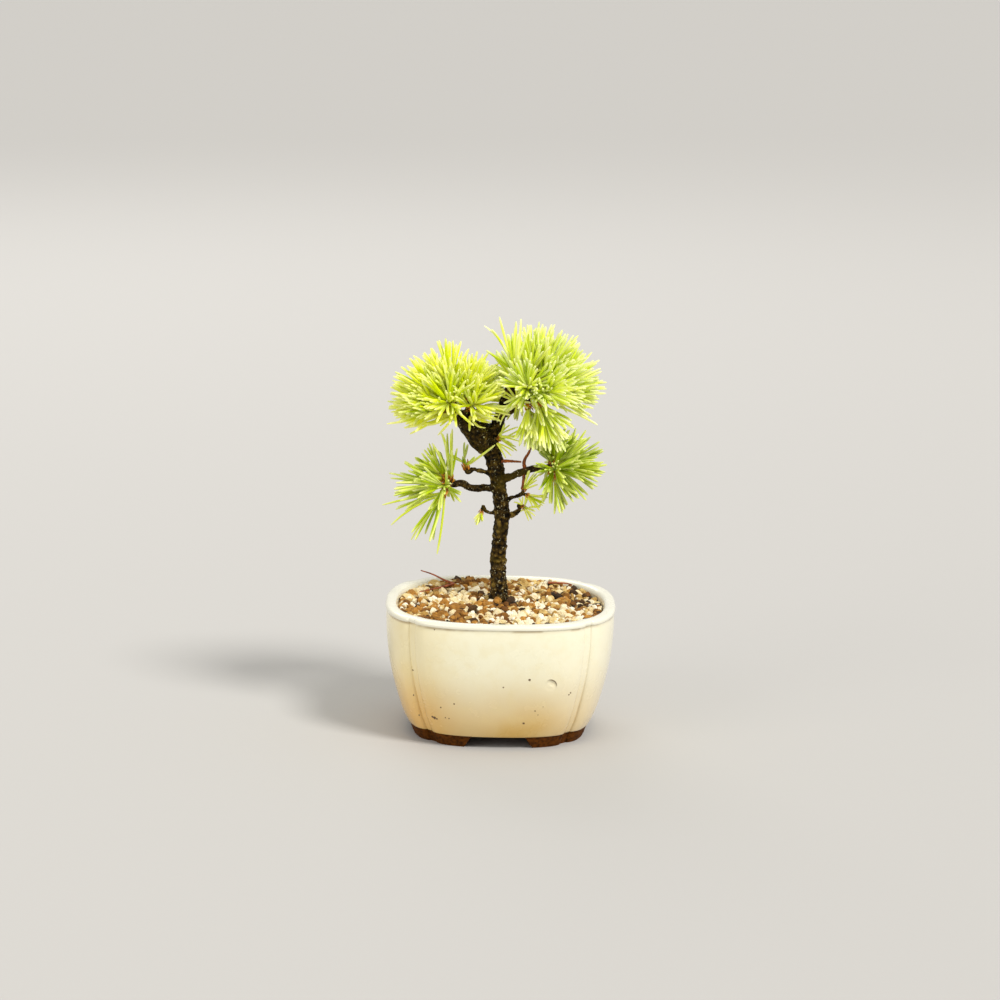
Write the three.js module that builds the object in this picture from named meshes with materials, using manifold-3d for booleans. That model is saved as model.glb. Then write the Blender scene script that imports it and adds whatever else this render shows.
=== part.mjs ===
// Japanese white pine bonsai in its cream glazed pot.
// Millimetres, +Z up. The origin is on the ground under the middle of the pot, and -Y is the front.
// Each piece of the real object is one closed mesh: the pot, the screen over its drainage hole, the soil,
// the wood of the tree, every spray of needles, and the dry needles that lie on the soil.

import * as THREE from "three";
import { mergeVertices } from "three/addons/utils/BufferGeometryUtils.js";
import Module from "manifold-3d";

const wasm = await Module();
wasm.setup();

// Driving dimensions
const GAP = 0.3;             // between pieces that touch
const POT_HEIGHT = 59;
const POT_HALF = 52;         // half the width of the pot over its lip
const FOOT_HEIGHT = 5.5;
const FLOOR_TOP = 10;        // height of the floor inside the pot
const HOLE_RADIUS = 6.5;     // drainage hole
const SOIL_TOP = 57;         // mean height of the soil
const TRUNK_BACK = 7;        // how far behind the pot's middle the trunk stands
const ROOT_DEPTH = 14;       // how far the trunk's foot goes into the soil
const TIP_RADIUS = 0.5;      // of a needle's three-cornered section at its blunt tip
const NEEDLE_CLEARANCE = 0.15;
const OWN_CLEARANCE = 0.06;  // between needles of one spray, outside its core

const COLOURS = {
  glaze: 0xf3e7ba, pumice: 0xd0b983, bark: 0x3b2e14, dry: 0x8a4a22, screen: 0x23262a,
  upperLeft: 0xd7e23c, upperRight: 0xe5ed75, lowerLeft: 0xacc223, lowerRight: 0xa2b421, shoots: 0xc4cf3e,
};

const V = (x, y, z) => new THREE.Vector3(x, y, z);

// A random number source with a fixed seed, so every build is the same
function seeded(seed) {
  let state = seed >>> 0;
  return () => {
    state = (state + 0x6d2b79f5) >>> 0;
    let t = state;
    t = Math.imul(t ^ (t >>> 15), t | 1);
    t ^= t + Math.imul(t ^ (t >>> 7), t | 61);
    return ((t ^ (t >>> 14)) >>> 0) / 4294967296;
  };
}

// Solids and meshes

function solidOf(geometry) {
  const bare = geometry.index ? geometry.toNonIndexed() : geometry.clone();
  bare.deleteAttribute("normal");
  bare.deleteAttribute("uv");
  const welded = mergeVertices(bare, 1e-4);
  return new wasm.Manifold(new wasm.Mesh({
    numProp: 3,
    vertProperties: Float32Array.from(welded.attributes.position.array),
    triVerts: Uint32Array.from(welded.index.array),
  }));
}

function fuse(solids) {
  return solids.reduce((whole, piece) => whole.add(piece));
}

function largestBody(solid) {
  const bodies = solid.decompose();
  return bodies.reduce((a, b) => (a.volume() >= b.volume() ? a : b));
}

// Corners on a fine grid, so that no two of them lie closer than its step; flat triangles drop out
const GRIDS = [50, 40, 64, 32];   // steps in a millimetre
const SMALL_STEP = 0.03;
const THINNEST = 0.004;      // least height of a triangle

function onGrid(solid, grid) {
  const { vertProperties, triVerts } = solid.getMesh();
  const seen = new Map();
  const corners = [];
  const numberOf = [];
  for (let i = 0; i < vertProperties.length; i += 3) {
    const corner = [0, 1, 2].map((k) => Math.round(vertProperties[i + k] * grid) / grid);
    const key = corner.join(" ");
    if (!seen.has(key)) {
      seen.set(key, corners.length / 3);
      corners.push(...corner);
    }
    numberOf.push(seen.get(key));
  }
  const triangles = [];
  for (let i = 0; i < triVerts.length; i += 3) {
    const [a, b, c] = [0, 1, 2].map((k) => numberOf[triVerts[i + k]]);
    if (a !== b && b !== c && c !== a) triangles.push(a, b, c);
  }
  return new wasm.Manifold(new wasm.Mesh({
    numProp: 3,
    vertProperties: Float32Array.from(corners),
    triVerts: Uint32Array.from(triangles),
  }));
}

// True if every edge, told by the places of its ends, has exactly two triangles
function isSewn({ vertProperties, triVerts }) {
  const uses = new Map();
  const place = (i) => vertProperties.slice(3 * i, 3 * i + 3).join(" ");
  for (let i = 0; i < triVerts.length; i += 3) {
    for (let k = 0; k < 3; k += 1) {
      const edge = [place(triVerts[i + k]), place(triVerts[i + (k + 1) % 3])].sort().join("|");
      uses.set(edge, (uses.get(edge) ?? 0) + 1);
    }
  }
  return [...uses.values()].every((count) => count === 2);
}

function thinnestTriangle({ vertProperties, triVerts }) {
  let thinnest = Infinity;
  for (let i = 0; i < triVerts.length; i += 3) {
    const [a, b, c] = [0, 1, 2].map((k) => V(0, 0, 0).fromArray(vertProperties, 3 * triVerts[i + k]));
    const longest = Math.max(a.distanceTo(b), b.distanceTo(c), c.distanceTo(a));
    thinnest = Math.min(thinnest, b.clone().sub(a).cross(c.clone().sub(a)).length() / longest);
  }
  return thinnest;
}

// The simplest skin within a tolerance that is sewn all over and has no needle-thin triangles. Where the
// first grid makes two corners meet, the next one is tried.
function cleanSkin(solid, tolerance) {
  const tries = [1, 0.85, 1.15, 0.7, 1.3, 0.5, 0.3, 0.1].map((share) => share * tolerance);
  for (const within of tries) {
    for (const grid of GRIDS) {
      const rough = onGrid(solid.simplify(within), grid);
      const skin = onGrid(rough.simplify(SMALL_STEP), grid).simplify(SMALL_STEP).getMesh();
      if (isSewn(skin) && thinnestTriangle(skin) > THINNEST) return skin;
    }
  }
  throw new Error("no clean skin");
}

function meshOf(name, solid, colour, roughness, tolerance = 0.02) {
  const cut = cleanSkin(solid, tolerance);
  const geometry = new THREE.BufferGeometry();
  geometry.setAttribute("position", new THREE.BufferAttribute(Float32Array.from(cut.vertProperties), 3));
  geometry.setIndex(Array.from(cut.triVerts));
  geometry.computeVertexNormals();
  const mesh = new THREE.Mesh(geometry, new THREE.MeshStandardMaterial({ color: colour, roughness }));
  mesh.name = name;
  return mesh;
}

// A limb is a round bar with many rings, laid along a smooth curve, with its own radius at every ring
function limb(points, radiusAt, sides, rings) {
  const curve = new THREE.CatmullRomCurve3(points);
  const geometry = new THREE.CylinderGeometry(1, 1, 1, sides, rings);
  const frames = frameAlong(curve, rings);
  const position = geometry.attributes.position;
  for (let i = 0; i < position.count; i += 1) {
    const t = position.getY(i) + 0.5;
    const frame = frames[Math.round(t * rings)];
    const radius = radiusAt(t, Math.atan2(position.getX(i), position.getZ(i)));
    const place = frame.at.clone()
      .addScaledVector(frame.side, position.getX(i) * radius)
      .addScaledVector(frame.other, position.getZ(i) * radius);
    position.setXYZ(i, place.x, place.y, place.z);
  }
  return solidOf(geometry);
}

function frameAlong(curve, rings) {
  const frames = [];
  let side = null;
  for (let i = 0; i <= rings; i += 1) {
    const along = curve.getTangentAt(i / rings).normalize();
    const guide = side ?? (Math.abs(along.z) < 0.9 ? V(0, 0, 1) : V(0, 1, 0));
    side = guide.clone().addScaledVector(along, -guide.dot(along)).normalize();
    const other = side.clone().cross(along);
    frames.push({ at: curve.getPointAt(i / rings), side, other });
  }
  return frames;
}

// The pot

const LOBE_POWER = 2.7;      // squareness of the plan outside
const INSIDE_POWER = 2.5;    // and inside
const NOTCH_HALF = 1.9;      // half the width of the strip at each corner
const NOTCH_REACH = 8.5;     // how far from the corner line a lobe's end starts to turn in

// Places round half a lobe, from its middle to the corner line: shares of its smooth stretch,
// then distances from the corner line, close together where the plan turns sharply
const SMOOTH = [0, 0.42, 0.78];
const TURNING = [NOTCH_REACH, 4.6, 2.4, 1.9, 0];

const roundedSquare = (angle, power) =>
  1 / (Math.abs(Math.cos(angle)) ** power + Math.abs(Math.sin(angle)) ** power) ** (1 / power);

// How far the plan is drawn in at a distance from the corner line
function drawnIn(fromCorner, depth) {
  if (fromCorner >= NOTCH_REACH) return 0;
  if (fromCorner <= NOTCH_HALF) return depth * (0.9 + 0.1 * fromCorner / NOTCH_HALF);
  const turn = (NOTCH_REACH - fromCorner) / (NOTCH_REACH - NOTCH_HALF);
  return depth * 0.92 * (1 - Math.sqrt(1 - 0.97 * turn * turn));
}

// Points [angle, radius] of the plan round the pot, from the middle of the front lobe
function outline(half, depth, power) {
  const corner = half * roundedSquare(Math.PI / 4, power);
  const smoothEnd = Math.PI / 4 - Math.asin(NOTCH_REACH / corner);
  const halfLobe = [
    ...SMOOTH.map((share) => [share * smoothEnd, NOTCH_REACH]),
    ...TURNING.map((distance) => [Math.PI / 4 - Math.asin(distance / corner), distance]),
  ];
  const points = [];
  for (let quarter = 0; quarter < 4; quarter += 1) {
    const start = quarter * Math.PI / 2;
    const rising = halfLobe.map(([angle, distance]) => [start + angle, angle, distance]);
    const falling = halfLobe.slice(1, -1).reverse()
      .map(([angle, distance]) => [start + Math.PI / 2 - angle, angle, distance]);
    for (const [place, angle, distance] of [...rising, ...falling]) {
      points.push([place, half * roundedSquare(angle, power) - drawnIn(distance, depth)]);
    }
  }
  return points;
}

const plainOutline = (count) => (half, depth, power) =>
  Array.from({ length: count }, (unused, i) => {
    const angle = 2 * Math.PI * i / count;
    return [angle, half * roundedSquare(angle, power)];
  });

// A turned solid whose plan is pushed from a circle to an outline.
// Each step of the profile is [half width, height, depth of the corner strips].
function potted(steps, power, planOf) {
  const profile = steps.map(([half, height]) => new THREE.Vector2(half, height));
  const plans = steps.map(([half, , depth]) => (half > 0 ? planOf(half, depth, power) : null));
  const around = plans.find((plan) => plan).length;
  const geometry = new THREE.LatheGeometry(profile, around);
  const position = geometry.attributes.position;
  for (let i = 0; i < position.count; i += 1) {
    const step = i % steps.length;
    const plan = plans[step];
    const [angle, radius] = plan ? plan[Math.floor(i / steps.length) % around] : [0, 0];
    position.setXYZ(i, radius * Math.sin(angle), -radius * Math.cos(angle), steps[step][1]);
  }
  return solidOf(geometry);
}

const OUTSIDE = [
  [38.9, 0, 2.2], [41.0, FOOT_HEIGHT - 0.1, 2.4], [41.5, FOOT_HEIGHT + 0.2, 2.4],
  [44.7, 12.6, 2.5], [46.9, 20, 2.4], [49.4, 30, 2.2], [50.9, 40, 1.95], [51.5, 56.2, 1.75],
  [52, 56.8, 1.75], [52, 57.8, 1.6], [51.3, 58.7, 1.4], [50.2, POT_HEIGHT, 1.2],
];
const INSIDE = [
  [35, FLOOR_TOP], [39.6, 15], [43.2, 27], [45.5, 40], [46.3, 55], [47.2, 58.6], [48, POT_HEIGHT + 0.4],
];

function potSolid() {
  const body = potted([[0, 0], ...OUTSIDE, [0, POT_HEIGHT]], LOBE_POWER, outline);
  const inside = potted([[0, FLOOR_TOP], ...INSIDE, [0, POT_HEIGHT + 0.4]], INSIDE_POWER, plainOutline(36));
  const under = [[0, -1], [29, -1], [31, FOOT_HEIGHT], [0, FOOT_HEIGHT]];
  const hole = new THREE.CylinderGeometry(HOLE_RADIUS, HOLE_RADIUS, 20, 20).rotateX(Math.PI / 2);
  const arch = footArch();
  return body
    .subtract(inside)
    .subtract(potted(under, LOBE_POWER, plainOutline(32)))
    .subtract(solidOf(hole.translate(0, 0, FLOOR_TOP)))
    .subtract(solidOf(arch))
    .subtract(solidOf(arch.clone().rotateZ(Math.PI / 2)));
}

// The space between two feet, right through under the pot: wider at the ground than at the top
function footArch() {
  const top = 12;
  const bottom = 15.4;
  const shape = new THREE.Shape();
  shape.moveTo(-bottom - 0.4, -1);
  shape.lineTo(bottom + 0.4, -1);
  shape.lineTo(top, FOOT_HEIGHT - 0.8);
  shape.lineTo(top - 1, FOOT_HEIGHT);
  shape.lineTo(-top + 1, FOOT_HEIGHT);
  shape.lineTo(-top, FOOT_HEIGHT - 0.8);
  const length = 2 * POT_HALF;
  const arch = new THREE.ExtrudeGeometry(shape, { depth: length, bevelEnabled: false, steps: 1 });
  return arch.translate(0, 0, -length / 2).rotateX(Math.PI / 2);
}

// The plastic screen over the hole: a square plate with rows of square meshes
const SCREEN_HALF = 9;
const SCREEN_THICK = 0.8;

function screenSolid() {
  const pitch = 5;
  const opening = 3.4;
  const plate = new THREE.BoxGeometry(2 * SCREEN_HALF, 2 * SCREEN_HALF, SCREEN_THICK);
  let screen = solidOf(plate);
  for (const x of [-1, 0, 1]) {
    for (const y of [-1, 0, 1]) {
      const mesh = new THREE.BoxGeometry(opening, opening, 4).translate(x * pitch, y * pitch, 0);
      screen = screen.subtract(solidOf(mesh));
    }
  }
  return screen.translate([0, 0, FLOOR_TOP + GAP + SCREEN_THICK / 2]);
}

// The soil: grains as raised bumps that cover its whole surface

const GRAIN = 6;             // from one grain's top to the next
const GRAIN_SHIFT = 0.9;     // how far a grain may stand off the even grid
const TOP_SHARE = 0.4;       // share of the grid's places that are tops
const CUT_HEIGHT = 46;       // below this the soil is a plain filling

function soilHeight(x, y) {
  const mound = 1.3 * Math.exp(-((x + 1) ** 2 + (y - TRUNK_BACK) ** 2) / 260);
  const lowRight = -1.1 / (1 + Math.exp(-(x - 30) / 5));
  const heaps = 0.5 * Math.sin(x * 0.17 + 1) * Math.cos(y * 0.21);
  const highBack = 1.7 / (1 + Math.exp(-(y - 30) / 4));
  return SOIL_TOP - 0.7 + mound + lowRight + heaps + highBack;
}

function soilSolid() {
  const random = seeded(41);
  const step = GRAIN / Math.sqrt(3);
  const across = 34;
  const deep = 40;
  const rowStep = step * Math.sqrt(3) / 2;
  const slab = new THREE.BoxGeometry(across * step, deep * rowStep, 30, across, deep, 1);
  const position = slab.attributes.position;
  const grown = new Map();
  for (let i = 0; i < position.count; i += 1) {
    if (position.getZ(i) < 0) continue;
    const column = Math.round(position.getX(i) / step + across / 2);
    const row = Math.round(position.getY(i) / rowStep + deep / 2);
    const key = column * 100 + row;
    if (!grown.has(key)) {
      const edge = column === 0 || row === 0 || column === across || row === deep;
      const shift = (row % 2) * step / 2;
      const x = position.getX(i) + (edge ? 0 : shift + (random() - 0.5) * GRAIN_SHIFT);
      const y = position.getY(i) + (edge ? 0 : (random() - 0.5) * GRAIN_SHIFT);
      const isTop = random() < TOP_SHARE;
      const raise = isTop ? 0.5 + 0.9 * random() : -1.1 + 0.7 * random();
      grown.set(key, [x, y, soilHeight(x, y) + raise]);
    }
    position.setXYZ(i, ...grown.get(key));
  }
  for (let i = 0; i < position.count; i += 1) {
    if (position.getZ(i) < 0) position.setZ(i, CUT_HEIGHT - 1);
  }
  const wall = INSIDE.slice(0, -2).map(([half, height]) => [half - GAP, height + GAP]);
  const [widest] = wall.at(-1);
  const steps = [[0, FLOOR_TOP + GAP], ...wall, [widest, POT_HEIGHT + 3], [0, POT_HEIGHT + 3]];
  const filling = potted(steps, INSIDE_POWER, plainOutline(36));
  const above = new THREE.BoxGeometry(2 * POT_HALF, 2 * POT_HALF, 40).translate(0, 0, CUT_HEIGHT + 20);
  const top = filling.intersect(solidOf(slab));
  const bottom = filling.subtract(solidOf(above));
  const screenRoom = new THREE.BoxGeometry(2 * (SCREEN_HALF + GAP), 2 * (SCREEN_HALF + GAP), 4)
    .translate(0, 0, FLOOR_TOP + 2 * GAP + SCREEN_THICK - 2);
  const filled = bottom.add(top).subtract(solidOf(screenRoom)).subtract(rootSolid(GAP));
  return Object.values(FALLEN).reduce((soil, drop) => soil.subtract(fallenSolid(drop, GAP)), filled);
}

// Dry needles that fell on the soil: one pair still joined at its sheath, whose upper needle rises over
// the back of the lip, and one single needle
const FALLEN = {
  fallen_needles_1: [
    [V(-21.5, 30.5, 58.9), V(-26.5, 32.5, 60.2), V(-31.7, 35, 62.2), V(-37.2, 37, 63.5)],
    [V(-21.5, 30.5, 58.9), V(-26, 25, 58.5), V(-31, 19.5, 58.2), V(-37, 13, 58)],
  ],
  fallen_needles_2: [[V(22, 36.5, 58.4), V(26, 36.8, 58.2), V(30, 36, 58.3), V(33, 34, 58.1)]],
};
const FALLEN_RADIUS = 0.5;
const FALLEN_SIDES = 5;

function fallenSolid(strands, spare) {
  const radius = (t) => FALLEN_RADIUS * (1.25 - 0.5 * t) + spare * 1.2;
  return fuse(strands.map((points) => limb(points, radius, FALLEN_SIDES, FALLEN_SIDES)));
}

// The wood

const TRUNK = [
  V(-0.8, TRUNK_BACK, 50), V(-0.9, 7, 58), V(-0.8, 7, 63), V(-1.3, 7, 71), V(-1.3, 6.6, 78), V(-1, 6, 85),
  V(-0.3, 5.6, 92), V(-0.2, 5, 99), V(-0.8, 4.4, 104), V(-1.5, 4, 109), V(-2.3, 4, 114), V(-3.6, 4, 120),
  V(-4.6, 4, 124.9), V(-7.5, 4, 130.4), V(-9.7, 4, 135.4),
];
const TRUNK_RADII = [2.4, 4.2, 4, 3.6, 3.5, 3.4, 3.5, 3.5, 3.5, 3.4, 3.5, 3.7, 4.1, 5.6, 6.4];

// The root stub: a cone that flares a little where it leaves the soil. A little wider, it is also the
// plain hole that the tree stands in.
const STUB = { foot: SOIL_TOP + 1 - ROOT_DEPTH, top: SOIL_TOP + 2, footRadius: 2.8, topRadius: 4.6 };

function rootSolid(spare) {
  const flare = (STUB.topRadius - STUB.footRadius) / (STUB.top - STUB.foot);
  const above = spare > 0 ? 6 : 0;
  const length = STUB.top - STUB.foot + above + spare;
  const bar = new THREE.CylinderGeometry(
    STUB.topRadius + spare * 1.1 + flare * above, STUB.footRadius + spare * 1.1 - flare * spare, length, 10);
  bar.rotateX(Math.PI / 2).translate(TRUNK[0].x, TRUNK[0].y, STUB.foot - spare + length / 2);
  return solidOf(bar);
}

function between(values, t) {
  const place = t * (values.length - 1);
  const low = Math.min(Math.floor(place), values.length - 2);
  return values[low] + (values[low + 1] - values[low]) * (place - low);
}

// Bark: plates of uneven thickness, and rings where old branches were
function barkRadius(radii, roughness, seed) {
  return (t, turn) => {
    const plates = Math.sin(turn * 3 + t * 31 + seed) * Math.sin(t * 47 + seed * 2 + turn);
    const rings = Math.sin(t * 90 + Math.sin(turn) * 0.8 + seed);
    return between(radii, t) * (1 + roughness * (0.6 * plates + 0.5 * rings));
  };
}

// Limbs drawn by hand from the photo: points, radii, sides, rings
const LIMBS = {
  head: [[V(-6.7, 3.5, 128.9), V(-10.3, 3, 133.8), V(-11.9, 4, 139.3)], [5.2, 6.6, 4.4], 8, 4],
  headBack: [[V(-6.2, 6, 128.9), V(-7.8, 8, 133.9), V(-8.4, 8.5, 137.9)], [4.6, 4.6, 2.8], 7, 3],
  leftArm: [
    [V(-10.3, 4, 131.8), V(-15.9, 3.6, 138.2), V(-19.9, 3.4, 141.7), V(-22.5, 3.2, 144.6)],
    [5.2, 4.5, 3, 2.1], 7, 5,
  ],
  leftFork: [[V(-14.4, 3.5, 137.8), V(-14, 4.2, 142.8), V(-16.1, 5, 147.7)], [3.3, 2.3, 1.5], 6, 4],
  rightArm: [
    [V(-6.7, 4, 129.9), V(-3.6, 3.6, 137), V(-1.5, 3, 144), V(0, 2.6, 150)],
    [4.2, 3.2, 2.4, 2.1], 7, 6,
  ],
  rightTop: [[V(-0.9, 2.8, 146), V(0.9, 1.6, 153), V(3.5, 0.5, 158.6)], [2.2, 1.8, 1.4], 6, 4],
  rightOut: [
    [V(-1.5, 2.9, 143), V(4.5, 1.5, 147.1), V(9.4, 1.5, 151.2), V(13.4, 2.5, 154.3)],
    [2.2, 2, 1.8, 1.5], 6, 5,
  ],
  rightBack: [[V(-0.5, 3, 147.5), V(3.4, 7, 152.1), V(7.3, 11, 157.2)], [2, 1.6, 1.3], 5, 4],
  lowerLeft: [
    [V(-1.5, 4, 109.5), V(-8.9, 3.4, 109.7), V(-14.5, 3, 109.8), V(-17.9, 2.6, 111.7), V(-22.9, 2, 111.2)],
    [2.3, 1.6, 1.6, 1.7, 1.5], 6, 8,
  ],
  upperLeft: [[V(-3.5, 4, 115), V(-9, 3.6, 117.2), V(-13.4, 3, 118.5)], [1.4, 1, 0.95], 5, 4],
  lowerRight: [
    [V(-1, 4.3, 113), V(4.2, 3.6, 115.3), V(9.5, 3, 117.6), V(14.5, 2.7, 119.2), V(19, 2.4, 119.4)],
    [2.3, 1.7, 1.7, 1.5, 1.6], 6, 8,
  ],
  dryAcross: [[V(-2.1, 3.4, 122), V(2.4, 1.6, 122.5), V(8.3, 0.8, 122.4)], [0.9, 0.7, 0.4], 5, 4],
  dryUp: [
    [V(10, 3, 118.2), V(9.6, 1.8, 122.6), V(11.8, 1.2, 127.2), V(12.7, 1, 131.2)],
    [1, 0.75, 0.6, 0.4], 5, 5,
  ],
  dryDown: [[V(9.6, 3, 117.2), V(9.3, 2, 112.8), V(8.6, 1.6, 109.6)], [0.9, 0.65, 0.45], 5, 3],
  twigUpper: [[V(0.7, 4.4, 103.6), V(4.6, 4.2, 105.3), V(8.8, 3.4, 107.2)], [1.5, 0.95, 1], 5, 4],
  twigLower: [[V(1.1, 4.8, 96.4), V(5.3, 4.5, 97.7), V(8.3, 3.8, 100)], [1.5, 1.05, 1], 5, 4],
  twigLeft: [[V(-1.9, 5.2, 98.2), V(-5.1, 4.8, 97.9), V(-7.7, 4.4, 98.7)], [1.3, 0.75, 0.8], 5, 3],
};

// The sprays of needles. Each has the limb that carries it, the place of its base, the way it points,
// its number of needles, their length, and how far they open from the spray's line, in degrees.
const HEADS = {
  upperLeft: { limb: "leftArm", colour: COLOURS.upperLeft, core: 7, lowest: -0.12, sprays: [
    [V(-27.5, 1, 146.5), V(-1, -0.1, 0.16), 26, 18.5, 46],
    [V(-27, 0, 149), V(-0.85, -0.2, 0.6), 26, 20, 52], [V(-23, 2, 151.5), V(-0.3, 0, 1), 26, 20, 52],
    [V(-17.5, 1, 150.7), V(0.35, -0.3, 0.9), 24, 16.5, 52, "leftFork"],
    [V(-23.1, -3.2, 148.3), V(-0.4, -1, 0.5), 24, 19, 58],
    [V(-15.5, -2.5, 147), V(0.5, -0.8, 0.6), 22, 17, 54],
    [V(-26.5, -2.5, 145.5), V(-0.9, -0.6, 0.1), 22, 18, 42],
    [V(-25, 8, 147.6), V(-0.55, 1, 0.4), 26, 19.5, 56],
    [V(-15.5, 9, 148.7), V(0.35, 0.9, 0.6), 24, 17.5, 56, "leftFork"],
    [V(-21.5, 7.5, 144.5), V(-0.4, 1, -0.05), 20, 18, 50],
  ] },
  upperRight: { limb: "rightOut", colour: COLOURS.upperRight, core: 7.5, sprays: [
    [V(5, -2, 162.7), V(-0.15, -0.35, 1), 9, 19, 26, "rightTop"],
    [V(10.5, 1, 160.5), V(0.35, 0.05, 1), 24, 19.5, 38, "rightTop"],
    [V(16, 1, 159), V(0.5, -0.05, 1), 28, 19.5, 50], [V(18.8, 1, 155.5), V(1, -0.05, 0.5), 28, 20, 50],
    [V(18.8, 0, 152.6), V(1, -0.1, 0.4), 24, 21, 34],
    [V(15.5, -3, 149.5), V(0.42, -0.5, -0.8), 24, 18, 36],
    [V(10.8, -5, 156.3), V(-0.1, -1, 0.4), 26, 17, 54],
    [V(16.4, -5, 154.5), V(0.6, -1, 0.4), 26, 18, 52],
    [V(11, -4, 149), V(0.12, -0.55, -1), 12, 14.5, 30],
    [V(11.2, 9, 158.5), V(0.25, 1, 0.6), 28, 19, 52, "rightBack"],
    [V(17.3, 8, 154.8), V(0.9, 0.9, 0.5), 26, 20, 46],
    [V(8.3, 14, 152.5), V(0, 1, -0.1), 24, 18, 54, "rightBack"],
    [V(4.5, 9.5, 158), V(-0.15, 0.9, 0.5), 20, 13, 46, "rightBack"],
  ] },
  lowerLeft: { limb: "lowerLeft", colour: COLOURS.lowerLeft, core: 5.5, bend: 0.35, sprays: [
    [V(-26.9, 1.5, 111.5), V(-1, 0, -0.12), 20, 19.5, 34],
    [V(-26, 2, 114.2), V(-0.8, 0.1, 0.7), 22, 12.5, 48],
    [V(-23.5, -0.5, 114.1), V(-0.12, -0.25, 1), 8, 17, 13],
    [V(-26, -1, 108.5), V(-0.6, -0.25, -1), 9, 23, 30],
    [V(-24.9, -3, 111.6), V(-0.55, -1, 0.1), 16, 15.5, 56],
    [V(-25, 6.5, 112.3), V(-0.5, 1, 0.1), 18, 13.5, 54],
    [V(-16.6, 2, 119.3), V(-0.25, -0.2, 0.9), 8, 7, 60, "upperLeft"],
  ] },
  lowerRight: { limb: "lowerRight", colour: COLOURS.lowerRight, core: 5, sprays: [
    [V(22, 2, 122), V(0.35, 0, 1), 24, 13, 56], [V(24, 1.5, 120.2), V(1, -0.05, 0.12), 26, 18.5, 48],
    [V(22.3, 1, 117), V(0.4, -0.2, -1), 10, 13.5, 34],
    [V(22.4, -2.5, 120), V(0.45, -1, 0.15), 20, 14, 54],
    [V(21.9, 7, 120.8), V(0.4, 1, 0.15), 22, 14.5, 60],
  ] },
  shoots: { limb: "twigUpper", colour: COLOURS.shoots, core: 3, sprays: [
    [V(-2, -0.6, 133), V(0.9, -0.45, 0.02), 12, 9, 60, "rightArm"],
    [V(9.7, 2.2, 109.5), V(0.5, -0.1, 1), 8, 8, 32],
    [V(11.4, 2.7, 106.6), V(1, -0.2, -0.35), 10, 7.5, 42],
    [V(9.6, 3.2, 101.2), V(0.6, -0.25, -0.1), 12, 6, 76, "twigLower"],
    [V(-9.4, 3.7, 98.4), V(-0.3, -0.25, -1), 8, 4.5, 34, "twigLeft"],
  ] },
};

const BUD_LENGTH = 2.4;
const BUD_RADII = [1.2, 1.0, 1.65];   // where the twig leaves its limb, at its neck, and at its bud
const OUTER_PART = 0.55;              // twigs leave a limb beyond this share of its length

function limbCurve(name) {
  return new THREE.CatmullRomCurve3(LIMBS[name][0]);
}

// The place on a limb nearest to a spray's base, in the limb's outer part
function anchorOn(name, base) {
  const curve = limbCurve(name);
  let best = curve.getPointAt(1);
  for (let t = OUTER_PART; t <= 1; t += 0.05) {
    const place = curve.getPointAt(t);
    if (place.distanceTo(base) < best.distanceTo(base)) best = place;
  }
  return best;
}

// A twig bends out of its limb into the spray's line and ends in a bud of brown scales
function twigCurve(spray) {
  const from = anchorOn(spray.limb, spray.base);
  const end = spray.base.clone().addScaledVector(spray.axis, -GAP);
  const neck = end.clone().addScaledVector(spray.axis, -BUD_LENGTH);
  return new THREE.CatmullRomCurve3([from, neck, end]);
}

const SPRAYS = [];
for (const [head, { limb: main, colour, core, bend = 0, lowest = -1, sprays }] of Object.entries(HEADS)) {
  sprays.forEach(([base, way, count, reach, open, limbName], i) => {
    SPRAYS.push({
      name: `needles_${head}_${i + 1}`, base, axis: way.clone().normalize(), count, reach,
      open: THREE.MathUtils.degToRad(open), colour, core, bend, lowest, limb: limbName ?? main,
    });
  });
}

function treeSolid() {
  const pieces = [limb(TRUNK, barkRadius(TRUNK_RADII, 0.07, 1), 9, 26), rootSolid(0)];
  let seed = 2;
  for (const [points, radii, sides, rings] of Object.values(LIMBS)) {
    pieces.push(limb(points, barkRadius(radii, 0.08, seed), sides, rings));
    seed += 1;
  }
  for (const spray of SPRAYS) {
    const points = twigCurve(spray).points;
    const thick = spray.core < SMALL_CORE ? 0.75 : 1;
    const bud = BUD_RADII.map((radius) => radius * thick);
    pieces.push(limb(points, (t) => between(bud, t), 5, 2));
  }
  return largestBody(fuse(pieces));
}

// Needles. The core of a spray is a slim bud with many small faces, and a needle is one of its faces drawn
// out into a thin three-cornered bar, straight or bent once. The faces are picked by a seeded draw, no two
// side by side, and a needle that would meet the wood or another needle is turned clear.

const CORE_RADIUS = 1.55;
const SMALL_CORE_RADIUS = 1.15;
const SMALL_CORE = 4;        // a core shorter than this is a shoot's
const ROOT_FLARE = 1.3;      // over this length a needle's root narrows from its face of the core
const MOST_TILT = 1.05;      // of a needle from its own face, in radians
const LOOSE = 0.144;         // how unevenly needles point
const LOOSER = 0.0168;       // and how much more at each new try
const TRIES = 60;
const taken = [];            // round bars that hold room already: wood, cores, and the needles so far

function holdRoom(owner, a, b, ra, rb, isCore = false) {
  const middle = a.clone().add(b).multiplyScalar(0.5);
  taken.push({ owner, a, b, ra, rb, isCore, middle, reach: a.distanceTo(b) / 2 + Math.max(ra, rb) });
}

function holdCurve(owner, curve, radii, parts) {
  for (let i = 0; i < parts; i += 1) {
    const [t, u] = [i / parts, (i + 1) / parts];
    holdRoom(owner, curve.getPoint(t), curve.getPoint(u), between(radii, t) * 1.1, between(radii, u) * 1.1);
  }
}

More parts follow.
